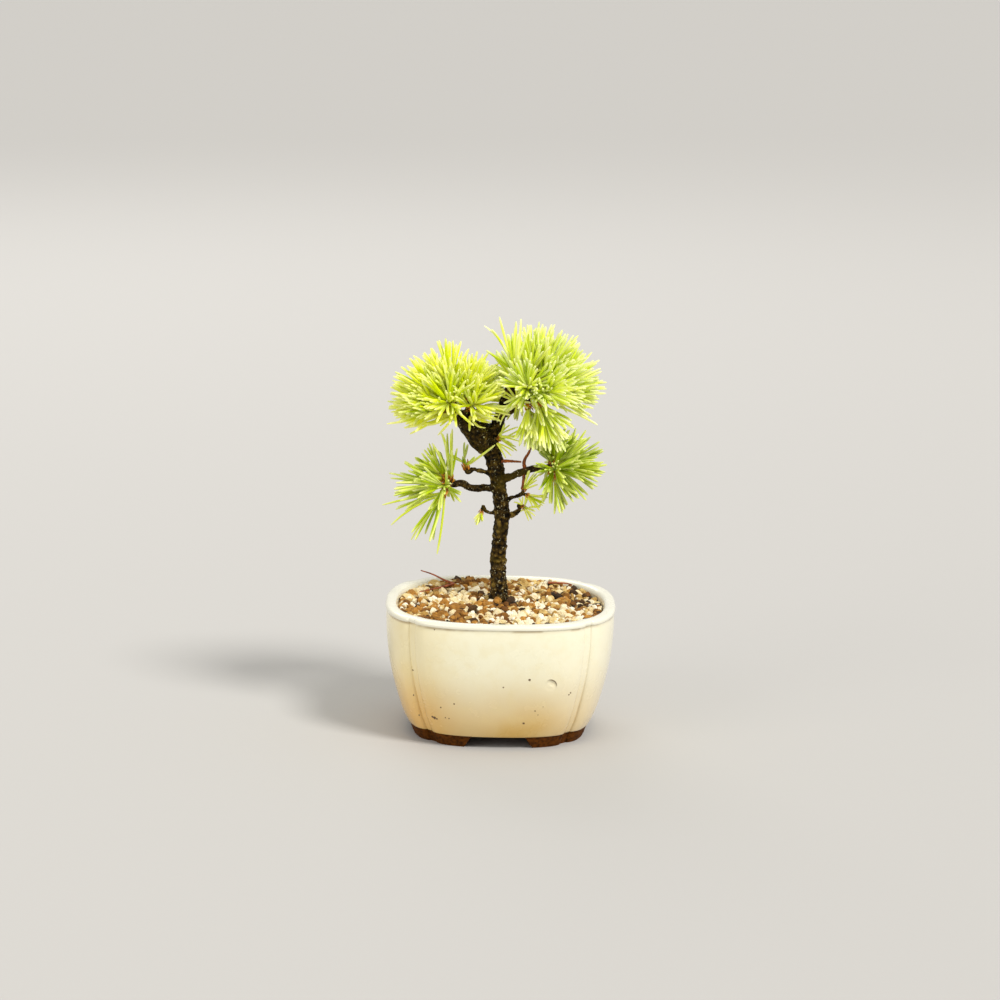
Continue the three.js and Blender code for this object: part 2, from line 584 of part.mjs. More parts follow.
// The smallest room between two bars, less both radii
function roomBetween(bar, other) {
  const u = bar.b.clone().sub(bar.a);
  const v = other.b.clone().sub(other.a);
  const w = bar.a.clone().sub(other.a);
  const [a, b, c, d, e] = [u.dot(u), u.dot(v), v.dot(v), u.dot(w), v.dot(w)];
  const det = a * c - b * b;
  let s = det > 1e-6 ? THREE.MathUtils.clamp((b * e - c * d) / det, 0, 1) : 0;
  const t = THREE.MathUtils.clamp((b * s + e) / c, 0, 1);
  s = THREE.MathUtils.clamp((b * t - d) / a, 0, 1);
  const apart = w.addScaledVector(u, s).addScaledVector(v, -t).length();
  return apart - (bar.ra + (bar.rb - bar.ra) * s) - (other.ra + (other.rb - other.ra) * t);
}

function isClear(owner, bars) {
  for (const bar of bars) {
    const middle = bar.a.clone().add(bar.b).multiplyScalar(0.5);
    const reach = bar.a.distanceTo(bar.b) / 2 + 1.2;
    for (const other of taken) {
      const own = other.owner === owner;
      if (own && other.isCore) continue;
      if (middle.distanceTo(other.middle) > reach + other.reach) continue;
      if (roomBetween(bar, other) < (own ? OWN_CLEARANCE : NEEDLE_CLEARANCE)) return false;
    }
  }
  return true;
}

// The faces of a spray's core: a ball of triangles, drawn out along the spray's line
function coreFaces(spray) {
  const isSmall = spray.core < SMALL_CORE;
  const ball = new THREE.IcosahedronGeometry(1, isSmall ? 0 : 1);
  const width = isSmall ? SMALL_CORE_RADIUS : CORE_RADIUS;
  ball.scale(width, width, spray.core / 2).translate(0, 0, spray.core / 2);
  const turned = new THREE.Quaternion().setFromUnitVectors(V(0, 0, 1), spray.axis);
  ball.applyQuaternion(turned).translate(spray.base.x, spray.base.y, spray.base.z);
  const position = ball.attributes.position;
  const faces = [];
  for (let i = 0; i < position.count; i += 3) {
    const corners = [0, 1, 2].map((k) => V(0, 0, 0).fromBufferAttribute(position, i + k));
    const centre = corners[0].clone().add(corners[1]).add(corners[2]).divideScalar(3);
    const normal = corners[1].clone().sub(corners[0]).cross(corners[2].clone().sub(corners[0])).normalize();
    faces.push({ corners, centre, normal, stations: null });
  }
  return faces;
}

function shareEdge(face, other) {
  const same = face.corners.filter((corner) => other.corners.some((o) => o.distanceTo(corner) < 1e-3));
  return same.length >= 2;
}

// One more section of a needle: the root's three corners, drawn in to a radius round a new centre
function sectionOf(face, centre, way, radius) {
  return face.corners.map((corner) => {
    const out = corner.clone().sub(face.centre);
    out.addScaledVector(way, -out.dot(way)).normalize();
    return centre.clone().addScaledVector(out, radius);
  });
}

function growNeedle(spray, face, random, attempt) {
  const loose = LOOSE + attempt * LOOSER;
  const along = face.centre.clone().sub(spray.base).dot(spray.axis) / spray.core;
  const outward = face.centre.clone().sub(spray.base).addScaledVector(spray.axis, -along * spray.core);
  const tilt = face.normal.angleTo(spray.axis);
  const wanted = spray.open * Math.sqrt(THREE.MathUtils.clamp(1.02 - along, 0, 1));
  const lean = Math.max(wanted, tilt - MOST_TILT);
  const way = spray.axis.clone().multiplyScalar(Math.cos(lean))
    .addScaledVector(outward.normalize(), Math.sin(lean))
    .add(V(random() - 0.5, random() - 0.5, random() - 0.5).multiplyScalar(loose));
  way.setZ(Math.max(way.z, spray.lowest)).normalize();
  const length = spray.reach * (0.86 + 0.2 * random()) * (1 - attempt * 0.002);
  if (way.dot(face.normal) < 0.3) return null;
  const bend = V(random() - 0.5, random() - 0.5, random() - 0.8).multiplyScalar(spray.bend);
  const start = face.centre.clone();
  if (spray.bend === 0) {
    const tip = start.clone().addScaledVector(way, length);
    return {
      bars: [{ a: start.clone().addScaledVector(way, ROOT_FLARE), b: tip, ra: TIP_RADIUS, rb: TIP_RADIUS }],
      stations: [sectionOf(face, tip, way, TIP_RADIUS)], tip,
    };
  }
  const middle = start.clone().addScaledVector(way, length * 0.5);
  const last = way.clone().add(bend).normalize();
  const tip = middle.clone().addScaledVector(last, length * 0.5);
  return {
    bars: [
      { a: start.clone().addScaledVector(way, ROOT_FLARE), b: middle, ra: TIP_RADIUS, rb: TIP_RADIUS },
      { a: middle, b: tip, ra: TIP_RADIUS, rb: TIP_RADIUS },
    ],
    stations: [sectionOf(face, middle, way, TIP_RADIUS), sectionOf(face, tip, last, TIP_RADIUS * 0.8)], tip,
  };
}

const SIDE_LIMIT = POT_HALF + 1.2;   // no needle reaches further out than this
const LOW_LIMIT = SOIL_TOP + 6;      // or lower than this

function growSpray(spray) {
  const random = seeded(Math.round(spray.base.x * 131 + spray.base.y * 57 + spray.base.z * 11 + 9000));
  const order = spray.faces.map((face) => [random(), face]).sort((a, b) => a[0] - b[0]);
  let grown = 0;
  for (const [, face] of order) {
    if (grown === spray.count) break;
    if (spray.faces.some((other) => other.stations && shareEdge(face, other))) continue;
    for (let attempt = 0; attempt < TRIES; attempt += 1) {
      const needle = growNeedle(spray, face, random, attempt);
      if (!needle || Math.abs(needle.tip.x) > SIDE_LIMIT || needle.tip.z < LOW_LIMIT) continue;
      if (!isClear(spray.name, needle.bars)) continue;
      face.stations = needle.stations;
      for (const bar of needle.bars) holdRoom(spray.name, bar.a, bar.b, bar.ra, bar.rb);
      grown += 1;
      break;
    }
  }
  spray.grown = grown;
}

// A closed skin: plain faces of the core, and for each needle its walls and its blunt end
function spraySolid(spray) {
  const corners = [];
  for (const face of spray.faces) {
    let section = face.corners;
    for (const next of face.stations ?? []) {
      for (let k = 0; k < 3; k += 1) {
        const [a, b, c, d] = [section[k], section[(k + 1) % 3], next[(k + 1) % 3], next[k]];
        corners.push(a, b, c, a, c, d);
      }
      section = next;
    }
    corners.push(...section);
  }
  const geometry = new THREE.BufferGeometry().setFromPoints(corners);
  return solidOf(geometry);
}

function layOutNeedles() {
  holdCurve("tree", new THREE.CatmullRomCurve3(TRUNK), TRUNK_RADII, 28);
  for (const [name, [, radii]] of Object.entries(LIMBS)) holdCurve("tree", limbCurve(name), radii, 8);
  for (const spray of SPRAYS) {
    const [from, neck] = twigCurve(spray).points;
    holdRoom("tree", from, neck, BUD_RADII[0], BUD_RADII[1]);
    const end = spray.base.clone().addScaledVector(spray.axis, spray.core);
    holdRoom(spray.name, spray.base, end, CORE_RADIUS, CORE_RADIUS, true);
    spray.faces = coreFaces(spray);
  }
  for (const spray of SPRAYS) growSpray(spray);
}

// The whole object

const bonsai = new THREE.Group();
bonsai.add(meshOf("pot", potSolid(), COLOURS.glaze, 0.25));
bonsai.add(meshOf("drainage_mesh", screenSolid(), COLOURS.screen, 0.6));
bonsai.add(meshOf("soil", largestBody(soilSolid()), COLOURS.pumice, 0.95, 0.06));
for (const [name, strands] of Object.entries(FALLEN)) {
  bonsai.add(meshOf(name, fallenSolid(strands, 0), COLOURS.dry, 0.7));
}
bonsai.add(meshOf("tree", treeSolid(), COLOURS.bark, 0.9, 0.12));
layOutNeedles();
for (const spray of SPRAYS) bonsai.add(meshOf(spray.name, spraySolid(spray), spray.colour, 0.5));

export default bonsai;
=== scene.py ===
# %% [markdown]
# # A small white pine in its pot
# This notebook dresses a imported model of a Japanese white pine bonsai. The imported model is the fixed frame:
# it says where every piece is and how big it is. Here each piece gets its fine shape and its finish.
# All lengths in the tables are millimetres, because that is how a potter or a grower would give them.

# %% Load the frame
import math
import random

import bpy
import numpy as np
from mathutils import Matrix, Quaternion, Vector, noise


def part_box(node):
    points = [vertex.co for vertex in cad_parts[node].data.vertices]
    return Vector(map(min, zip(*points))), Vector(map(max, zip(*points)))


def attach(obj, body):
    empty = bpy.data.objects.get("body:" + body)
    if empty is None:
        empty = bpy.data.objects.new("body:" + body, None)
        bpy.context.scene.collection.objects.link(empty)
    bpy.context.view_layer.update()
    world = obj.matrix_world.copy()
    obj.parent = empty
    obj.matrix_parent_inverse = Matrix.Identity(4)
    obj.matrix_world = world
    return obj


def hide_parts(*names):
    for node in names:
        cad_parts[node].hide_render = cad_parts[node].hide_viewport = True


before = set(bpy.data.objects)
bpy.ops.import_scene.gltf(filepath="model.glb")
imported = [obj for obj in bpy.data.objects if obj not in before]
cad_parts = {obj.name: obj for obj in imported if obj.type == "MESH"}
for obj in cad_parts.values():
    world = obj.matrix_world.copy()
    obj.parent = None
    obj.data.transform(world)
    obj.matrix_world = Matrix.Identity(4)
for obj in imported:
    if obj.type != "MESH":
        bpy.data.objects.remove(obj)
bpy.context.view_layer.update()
MM = 0.001
print("frame loaded:", len(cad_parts), "nodes")

# %% [markdown]
# ## The camera
# The camera comes first, so that every later choice can be checked against the same view. A long lens from
# one and a half metres looks a little down on the pot, which is how such a tree is usually shown.

# %% Place the camera
CAMERA_DISTANCE = 1.5
CAMERA_TILT = math.radians(11.24)
CAMERA_ROLL = math.radians(1.0)     # it is held a little out of level
LOOK_HEIGHT = 0.1049
CAMERA_ASIDE = 0.00104
FIELD_WIDTH = 0.4507        # metres across the picture, at the tree

camera_place = (
    -CAMERA_ASIDE,
    -CAMERA_DISTANCE * math.cos(CAMERA_TILT),
    LOOK_HEIGHT + CAMERA_DISTANCE * math.sin(CAMERA_TILT),
)
bpy.ops.object.camera_add(location=camera_place, rotation=(math.pi / 2 - CAMERA_TILT, 0, 0))
camera = bpy.context.object
camera.rotation_euler.rotate_axis("Z", CAMERA_ROLL)
camera.data.lens = camera.data.sensor_width * CAMERA_DISTANCE / FIELD_WIDTH
bpy.context.scene.camera = camera
print("camera lens", round(camera.data.lens, 1), "mm")

# %% [markdown]
# ## Small helpers
# Operators act on whatever is selected, and the frame arrives selected, so everything is deselected before
# each new piece. Materials are built from a few nodes, and the helpers keep each one short to read.

# %% Helpers for objects
def start_clean():
    if bpy.context.object and bpy.context.object.mode != "OBJECT":
        bpy.ops.object.mode_set(mode="OBJECT")
    bpy.ops.object.select_all(action="DESELECT")


def take(obj):
    start_clean()
    obj.select_set(True)
    bpy.context.view_layer.objects.active = obj
    return obj


def edit_whole(obj):
    """Into edit mode, with every point of the piece selected."""
    take(obj)
    bpy.ops.object.mode_set(mode="EDIT")
    bpy.ops.mesh.select_all(action="SELECT")


def close_up(obj, gap):
    """Points nearer to each other than the gap, in metres, become one. Then every face looks outwards."""
    edit_whole(obj)
    bpy.ops.mesh.remove_doubles(threshold=gap)
    bpy.ops.mesh.normals_make_consistent(inside=False)
    bpy.ops.object.mode_set(mode="OBJECT")


def apply_place(obj):
    take(obj)
    bpy.ops.object.transform_apply(location=True, rotation=True, scale=True)


def join_all(objects, name):
    """Each object's place goes into its mesh, then all of them become one object."""
    for obj in objects:
        apply_place(obj)
    start_clean()
    for obj in objects:
        obj.select_set(True)
    bpy.context.view_layer.objects.active = objects[0]
    bpy.ops.object.join()
    whole = bpy.context.object
    whole.name = name
    return whole


def apply_modifier(obj, kind, **settings):
    take(obj)
    modifier = obj.modifiers.new(kind.title(), kind)
    for key, value in settings.items():
        setattr(modifier, key, value)
    bpy.ops.object.modifier_apply(modifier=modifier.name)


def soften(obj, degrees):
    take(obj)
    bpy.ops.object.shade_smooth_by_angle(angle=math.radians(degrees))


def settle(obj, slot, material, *nodes):
    """The piece gets its finish, moves with the one body, and stands for the frame's nodes."""
    if material:
        obj.data.materials.clear()
        obj.data.materials.append(material)
    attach(obj, "root")
    if nodes:
        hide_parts(*nodes)


# %% Helpers for materials
class Finish:
    """A material, with short ways to add its nodes."""

    def __init__(self, name, roughness=0.5):
        self.material = bpy.data.materials.new(name)
        self.material.use_nodes = True
        self.tree = self.material.node_tree
        self.shader = self.tree.nodes["Principled BSDF"]
        self.shader.inputs["Roughness"].default_value = roughness
        self.place = self.add("ShaderNodeTexCoord").outputs["Object"]

    def add(self, kind, inputs=None, **settings):
        made = self.tree.nodes.new(kind)
        for key, value in settings.items():
            setattr(made, key, value)
        for key, value in (inputs or {}).items():
            self.feed(made.inputs[key], value)
        return made

    def feed(self, socket, value):
        if isinstance(value, bpy.types.NodeSocket):
            self.tree.links.new(value, socket)
        else:
            socket.default_value = value

    def noise(self, scale, detail, roughness=0.55):
        inputs = {"Vector": self.place, "Scale": scale, "Detail": detail, "Roughness": roughness}
        return self.add("ShaderNodeTexNoise", inputs).outputs["Fac"]

    def cells(self, scale):
        return self.add("ShaderNodeTexVoronoi", {"Vector": self.place, "Scale": scale}).outputs["Distance"]

    def attribute(self, name):
        return self.add("ShaderNodeAttribute", attribute_name=name).outputs["Fac"]

    def math(self, operation, a, b=0.5):
        return self.add("ShaderNodeMath", {0: a, 1: b}, operation=operation).outputs[0]

    def between(self, value, low, high, to_low=0.0, to_high=1.0):
        inputs = {"Value": value, "From Min": low, "From Max": high, "To Min": to_low, "To Max": to_high}
        made = self.add("ShaderNodeMapRange", inputs)
        made.interpolation_type = "SMOOTHSTEP"
        return made.outputs["Result"]

    def mix(self, share, a, b):
        """Colour a, going over to colour b by its share. A tuple is red, green and blue up to 255."""
        first, second = (colour(c) if isinstance(c, tuple) else c for c in (a, b))
        made = self.add("ShaderNodeMix", data_type="RGBA")
        for socket, value in ((0, share), (6, first), (7, second)):
            self.feed(made.inputs[socket], value)
        return made.outputs[2]

    def cloud(self, scale, detail, first, second, low=0.3, high=0.7):
        """Two colours that change into each other in soft clouds."""
        return self.mix(self.between(self.noise(scale, detail), low, high), first, second)

    def axes(self):
        """Sideways, back and up, as three numbers."""
        return self.add("ShaderNodeSeparateXYZ", {"Vector": self.place}).outputs

    def bump(self, height, strength, distance):
        inputs = {"Height": height, "Strength": strength, "Distance": distance}
        made = self.add("ShaderNodeBump", inputs)
        if self.shader.inputs["Normal"].is_linked:
            self.tree.links.new(self.shader.inputs["Normal"].links[0].from_socket, made.inputs["Normal"])
        self.tree.links.new(made.outputs["Normal"], self.shader.inputs["Normal"])

    def colour(self, value):
        self.feed(self.shader.inputs["Base Color"], value)

    def rough(self, value):
        self.feed(self.shader.inputs["Roughness"], value)


def colour(rgb):
    """Screen red, green and blue from 0 to 255, as the linear colour that a shader wants."""
    def linear(c):
        c = c / 255
        return c / 12.92 if c <= 0.04045 else ((c + 0.055) / 1.055) ** 2.4
    return tuple(linear(c) for c in rgb) + (1.0,)


# %% [markdown]
# ## The pot
# A potter presses such a pot in a mould: four swelling lobes, with a narrow sunk strip at each corner, under
# a rounded lip. The body starts as one flat disc of many corners. It is drawn up ring by ring, over the lip
# and down inside, which keeps it one closed skin. Then every ring is pushed from a circle to the lobed plan.

# %% The plan of the pot
LOBE_POWER = 2.7            # squareness of the plan outside
INSIDE_POWER = 2.5          # and inside
STRIP_HALF = 1.9            # half the width of the sunk strip at a corner
STRIP_REACH = 8.5           # how far from the corner line a lobe starts to turn in
SMOOTH_SHARES = [i / 15 for i in range(15)]
TURNING = [8.5, 7.7, 6.9, 6.1, 5.4, 4.7, 4.1, 3.6, 3.2, 2.9, 2.6, 2.35, 2.15, 2.02, 1.9, 1.7, 1.2, 0.6, 0.0]


def rounded_square(angle, power):
    return 1 / (abs(math.cos(angle)) ** power + abs(math.sin(angle)) ** power) ** (1 / power)


def drawn_in(from_corner, depth):
    if from_corner >= STRIP_REACH:
        return 0.0
    if from_corner <= STRIP_HALF:
        return depth * (0.8 + 0.06 * (from_corner / STRIP_HALF) ** 2)
    turn = (STRIP_REACH - from_corner) / (STRIP_REACH - STRIP_HALF)
    return depth * 0.9 * (1 - math.sqrt(1 - 0.985 * turn * turn))


def plan(half, depth, power):
    """Angle and radius of every point round the pot, close together where the plan turns sharply."""
    corner = half * rounded_square(math.pi / 4, power)
    smooth_end = math.pi / 4 - math.asin(STRIP_REACH / corner)
    half_lobe = [(share * smooth_end, STRIP_REACH) for share in SMOOTH_SHARES]
    half_lobe += [(math.pi / 4 - math.asin(distance / corner), distance) for distance in TURNING]
    points = []
    for quarter in range(4):
        start = quarter * math.pi / 2
        rising = [(start + angle, angle, distance) for angle, distance in half_lobe]
        falling = [(start + math.pi / 2 - angle, angle, distance) for angle, distance in half_lobe[-2:0:-1]]
        for place, angle, distance in rising + falling:
            points.append((place, half * rounded_square(angle, power) - drawn_in(distance, depth)))
    return points


POT_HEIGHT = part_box("pot")[1][2] / MM
FOOT_HEIGHT = 5.5           # up to the line where the glaze starts
FLOOR_TOP = 10.0
# Half width, height, and depth of the corner strips, up the outside and over the lip
OUTSIDE = [
    (38.9, 0.0, 2.2), (39.6, 1.6, 2.3), (40.3, 3.6, 2.4), (40.9, 5.2, 2.4), (41.5, 5.6, 2.4),
    (41.9, 6.3, 2.4), (42.9, 8.3, 2.5), (44.0, 10.8, 2.5), (44.9, 13.3, 2.5), (45.9, 16.5, 2.45),
    (46.9, 20.0, 2.4), (47.8, 23.5, 2.35), (48.7, 27.0, 2.3), (49.45, 30.5, 2.2), (50.05, 34.0, 2.1),
    (50.6, 38.0, 2.0), (51.05, 42.0, 1.9), (51.4, 46.5, 1.8), (51.6, 51.0, 1.75), (51.55, 54.5, 1.75),
    (51.4, 56.1, 1.75), (51.5, 56.45, 1.75), (51.85, 56.75, 1.75), (52.0, 57.3, 1.7), (51.95, 57.9, 1.6),
    (51.6, 58.45, 1.5), (51.0, 58.85, 1.4), (50.2, POT_HEIGHT, 1.2),
]
INSIDE = [
    (49.0, POT_HEIGHT, 0.9), (48.2, 58.85, 0.6), (47.5, 58.5, 0.4), (47.0, 57.9, 0.2), (46.6, 57.0, 0),
    (46.3, 55.0, 0), (46.0, 50.0, 0), (45.5, 40.0, 0), (43.2, 27.0, 0), (39.6, 15.0, 0),
    (35.0, FLOOR_TOP, 0),
]
AROUND = len(plan(*OUTSIDE[0][::2], LOBE_POWER))
print("points round the pot:", AROUND)


# %% Draw the pot up from a disc
DOUBLE = 0.005              # points this near are one point


def draw_up(disc, steps, unit):
    """A closed form from a flat disc. A turned copy stays below, and the disc is drawn up step by step.
    Each step is a height and a half width, and both are multiplied by the unit."""
    edit_whole(disc)
    bpy.ops.mesh.duplicate()
    bpy.ops.mesh.flip_normals()
    bpy.ops.mesh.select_all(action="INVERT")
    for (height, half), (next_height, next_half) in zip(steps, steps[1:]):
        rise = (0, 0, (next_height - height) * unit)
        bpy.ops.mesh.extrude_region_move(TRANSFORM_OT_translate={"value": rise})
        share = next_half / half
        bpy.ops.transform.resize(value=(share, share, 1), center_override=(0, 0, next_height * unit))
    close_up(disc, DOUBLE * unit)


def drawn_pot(name, rings, power_of):
    """A closed skin from a disc, drawn up through the rings and then pushed to the lobed plan."""
    start_clean()
    first_half, first_height, _ = rings[0]
    bpy.ops.mesh.primitive_circle_add(
        vertices=AROUND, radius=first_half * MM, fill_type="NGON", location=(0, 0, first_height * MM))
    body = bpy.context.object
    body.name = name
    apply_place(body)
    draw_up(body, [(height, half) for half, height, _ in rings], MM)
    push_to_plan(body, rings, power_of)
    return body


def push_to_plan(body, rings, power_of):
    plans = [plan(half, depth, power_of(i)) for i, (half, _, depth) in enumerate(rings)]
    for vertex in body.data.vertices:
        x, y, z = vertex.co / MM
        half = math.hypot(x, y)
        ring = min(range(len(rings)), key=lambda i: abs(rings[i][0] - half) + abs(rings[i][1] - z))
        number = round((math.atan2(x, -y) % (2 * math.pi)) / (2 * math.pi) * AROUND) % AROUND
        angle, radius = plans[ring][number]
        vertex.co = Vector((radius * math.sin(angle), -radius * math.cos(angle), rings[ring][1])) * MM
    body.data.update()


pot = drawn_pot("pot_body", OUTSIDE + INSIDE, lambda i: LOBE_POWER if i < len(OUTSIDE) else INSIDE_POWER)
print("pot body faces:", len(pot.data.polygons))

# %% [markdown]
# The pot stands on four corner feet. Underneath it is hollow, so that it doesn't rock, and an arch runs
# through between the feet on each side, so that water can leave the one round hole in the floor. All of
# that is cut away with simple solids, as a potter cuts it with a wire while the clay is soft.

# %% Cut the underside, the arches and the hole
ARCH_BOTTOM = 15.8          # half the width of an arch a little below the ground
ARCH_TOP = 12.0             # and at its top
ARCH_LENGTH = 60.0          # half its length, well past the pot
ARCH_EDGE = 0.8
HOLE_RADIUS = 6.5
RECESS_HALF = 30.0


def arch_cutter(turn):
    start_clean()
    bpy.ops.mesh.primitive_cube_add(size=1)
    arch = bpy.context.object
    for vertex in arch.data.vertices:
        half, top = (ARCH_TOP, FOOT_HEIGHT) if vertex.co.z > 0 else (ARCH_BOTTOM, -1.0)
        corner = (math.copysign(half, vertex.co.x), math.copysign(ARCH_LENGTH, vertex.co.y), top)
        vertex.co = Vector(corner) * MM
    edit_whole(arch)
    bpy.ops.mesh.bevel(offset=ARCH_EDGE * MM, segments=3, affect="EDGES")
    bpy.ops.object.mode_set(mode="OBJECT")
    arch.rotation_euler = (0, 0, turn)
    apply_place(arch)
    return arch


def round_cutter(corners, radius, depth, height):
    start_clean()
    bpy.ops.mesh.primitive_cylinder_add(
        vertices=corners, radius=radius * MM, depth=depth * MM, location=(0, 0, height * MM))
    apply_place(bpy.context.object)
    return bpy.context.object


def recess_cutter():
    """Squared like the pot, and a little wider at its top, so that its wall leans."""
    recess = round_cutter(96, RECESS_HALF, 8, FOOT_HEIGHT - 4)
    for vertex in recess.data.vertices:
        angle = math.atan2(vertex.co.y, vertex.co.x)
        share = rounded_square(angle, LOBE_POWER) * (1.02 if vertex.co.z > 0 else 0.97)
        vertex.co.x *= share
        vertex.co.y *= share
    return recess


hole_cutter = round_cutter(64, HOLE_RADIUS, 20, FLOOR_TOP)
for cutter in (recess_cutter(), arch_cutter(0), arch_cutter(math.pi / 2), hole_cutter):
    apply_modifier(pot, "BOOLEAN", operation="DIFFERENCE", solver="EXACT", object=cutter)
    bpy.data.objects.remove(cutter)
print("pot faces after cutting:", len(pot.data.polygons))

# %% [markdown]
# The glaze has small marks of the hand and the kiln. The clearest is a shallow crescent, low on the right of
# the front. It is real relief, so the faces there are divided first and then pressed in a little.

# %% Press the crescent
CRESCENT = Vector((22.6, -47.3, 31.2))
CRESCENT_RADIUS = 2.6
CRESCENT_TURN = math.radians(50)     # its deep side is up and to the right
CRESCENT_REACH = 4.5
HOLLOW_DEPTH = 0.55
RIDGE_HEIGHT = 0.25
FRONT_WALL = -43.0          # places nearer to the viewer than this are on the front wall

edit_whole(pot)
bpy.ops.mesh.select_all(action="DESELECT")
bpy.ops.object.mode_set(mode="OBJECT")
for polygon in pot.data.polygons:
    centre = polygon.center / MM
    polygon.select = (centre - CRESCENT).length < CRESCENT_REACH + 1 and centre.y < FRONT_WALL
bpy.ops.object.mode_set(mode="EDIT")
bpy.ops.mesh.subdivide(number_cuts=7)
bpy.ops.object.mode_set(mode="OBJECT")
for vertex in pot.data.vertices:
    place = vertex.co / MM
    across, up = place.x - CRESCENT.x, place.z - CRESCENT.z
    away = math.hypot(across, up)
    if away > CRESCENT_REACH or place.y > FRONT_WALL:
        continue
    facing = max(0.0, math.cos(math.atan2(up, across) - CRESCENT_TURN))
    ridge = math.exp(-((away - CRESCENT_RADIUS) / 0.25) ** 2) * facing ** 0.7
    hollow = 1 / (1 + math.exp((away - CRESCENT_RADIUS + 0.3) / 0.2)) * (0.25 + 0.75 * facing)
    vertex.co.y += (HOLLOW_DEPTH * hollow - RIDGE_HEIGHT * ridge) * MM
soften(pot, 32)
print("crescent pressed, pot faces:", len(pot.data.polygons))

# %% [markdown]
# A cream glaze is not one colour. It is cream on the upper wall and goes tan towards the foot, partly
# where it ran thin and partly as painted shade. Painted light makes the right of the front and the top of
# the lip paler. Painted shade makes the left warmer, and darkens the edges of the corner strips, the crease
# under the lip and the upper right edge of the crescent. A few dark pinholes show the clay. The feet are
# bare brown clay. So the piece has two materials, and the faces below the glaze line take the second.

# %% The glaze and the bare clay
PINHOLES = [   # x, z and radius on the front wall
    (13.4, 34.2, 0.5), (11.1, 13.0, 0.5), (-28.4, 13.6, 0.6), (-29.4, 13.9, 0.4), (-27.4, 13.3, 0.4),
    (-25.7, 19.3, 0.3), (-19.8, 21.7, 0.32), (1.9, 30.6, 0.32), (31.7, 26.8, 0.32), (31.0, 26.0, 0.3),
    (19.6, 21.0, 0.2), (16.1, 19.1, 0.3), (17.4, 17.1, 0.24), (-28.9, 55.6, 0.26), (-38.4, 34.5, 0.34),
    (-38.0, 22.3, 0.3), (-22.0, 14.2, 0.28), (-23.6, 14.4, 0.3), (-35.5, 12.6, 0.3),
]


def crescent_shade_line(glaze, flat):
    """1 on the thin dark edge of the crescent, a painted shade that shows only on its upper right side."""
    from_middle = glaze.add("ShaderNodeVectorMath", operation="SUBTRACT",
                            inputs={0: flat, 1: (CRESCENT.x * MM, 0, CRESCENT.z * MM)}).outputs[0]
    away = glaze.add("ShaderNodeVectorMath", {0: from_middle}, operation="LENGTH").outputs["Value"]
    off_line = glaze.math("ABSOLUTE", glaze.math("SUBTRACT", away, (CRESCENT_RADIUS + 0.1) * MM))
    line = glaze.between(off_line, 0.12 * MM, 0.4 * MM, 0.85, 0.0)
    facing = (math.cos(CRESCENT_TURN), 0, math.sin(CRESCENT_TURN))
    side = glaze.add("ShaderNodeVectorMath", {0: from_middle, 1: facing}, operation="DOT_PRODUCT")
    return glaze.math("MULTIPLY", line, glaze.between(side.outputs["Value"], 0.6 * MM, 2.4 * MM))


def pinholes(glaze, flat):
    """1 on the pinholes, each with a wobbly edge."""
    spots = None
    wobble = glaze.between(glaze.noise(2600, 1), 0.0, 1.0, 0.55, 1.35)
    for x, z, radius in PINHOLES:
        inputs = {0: flat, 1: (x * MM, 0, z * MM)}
        away = glaze.add("ShaderNodeVectorMath", inputs, operation="DISTANCE").outputs["Value"]
        spot = glaze.math("LESS_THAN", glaze.math("MULTIPLY", away, wobble), radius * MM)
        spots = spot if spots is None else glaze.math("MAXIMUM", spots, spot)
    return spots


def glaze_run_and_light(glaze, sideways, back, height):
    """The glaze as it ran, with painted light and shade: cream above; tan below, partly thin glaze and partly
    painted shade; warmer at the front's left as painted shade, and paler at its right as painted light.
    """
    # tan towards the foot: partly thin glaze, partly painted shade low on the wall
    low = glaze.between(height, 0.003, 0.044, 1.0, 0.0)
    patchy = glaze.between(glaze.between(glaze.noise(22, 2), 0.35, 0.7), 0, 1, 0.78, 1.0)
    thin_and_shaded = glaze.math("MULTIPLY", low, patchy)
    base = glaze.mix(thin_and_shaded, (235, 231, 204), (206, 166, 80))
    mottle = glaze.mix(glaze.between(glaze.noise(160, 4), 0.42, 0.72, 0.0, 0.2), base, (222, 203, 145))
    # painted shade on the left of the front, warmer and stronger low down
    shaded_left = glaze.math("MULTIPLY", glaze.between(sideways, -0.05, -0.01, 1.0, 0.0),
                      glaze.between(height, 0.01, 0.05, 0.75, 0.36))
    shaded_left = glaze.math("MULTIPLY", shaded_left, glaze.between(back, -0.045, 0.0, 1.0, 0.4))
    shade_warmth = glaze.mix(glaze.between(height, 0.01, 0.04), (240, 180, 74), (255, 222, 126))
    # painted light on the right of the front
    lit_right = glaze.between(sideways, 0.014, 0.04, 0.0, 0.42)
    return glaze.mix(lit_right, glaze.mix(shaded_left, mottle, shade_warmth), (247, 239, 212))


def light_and_shade_lip(glaze, lit_run_colour, height):
    """Painted light on the top of the lip, and a broken brown line of painted shade in the crease under it."""
    # painted light on the top of the lip
    lit_lip = glaze.mix(glaze.between(height, 0.0558, 0.0572, 0.0, 0.85), lit_run_colour, (231, 228, 212))
    # painted shade in the crease under the lip, broken up by noise
    above, below = glaze.between(height, 0.0552, 0.0562), glaze.between(height, 0.0563, 0.057, 1.0, 0.0)
    lip_crease_shade = glaze.math("MULTIPLY", above, below)
    broken_crease_shade = glaze.math("MULTIPLY", lip_crease_shade, glaze.between(glaze.noise(60, 3), 0.42, 0.6, 0.1, 0.6))
    return glaze.mix(broken_crease_shade, lit_lip, (150, 118, 66))


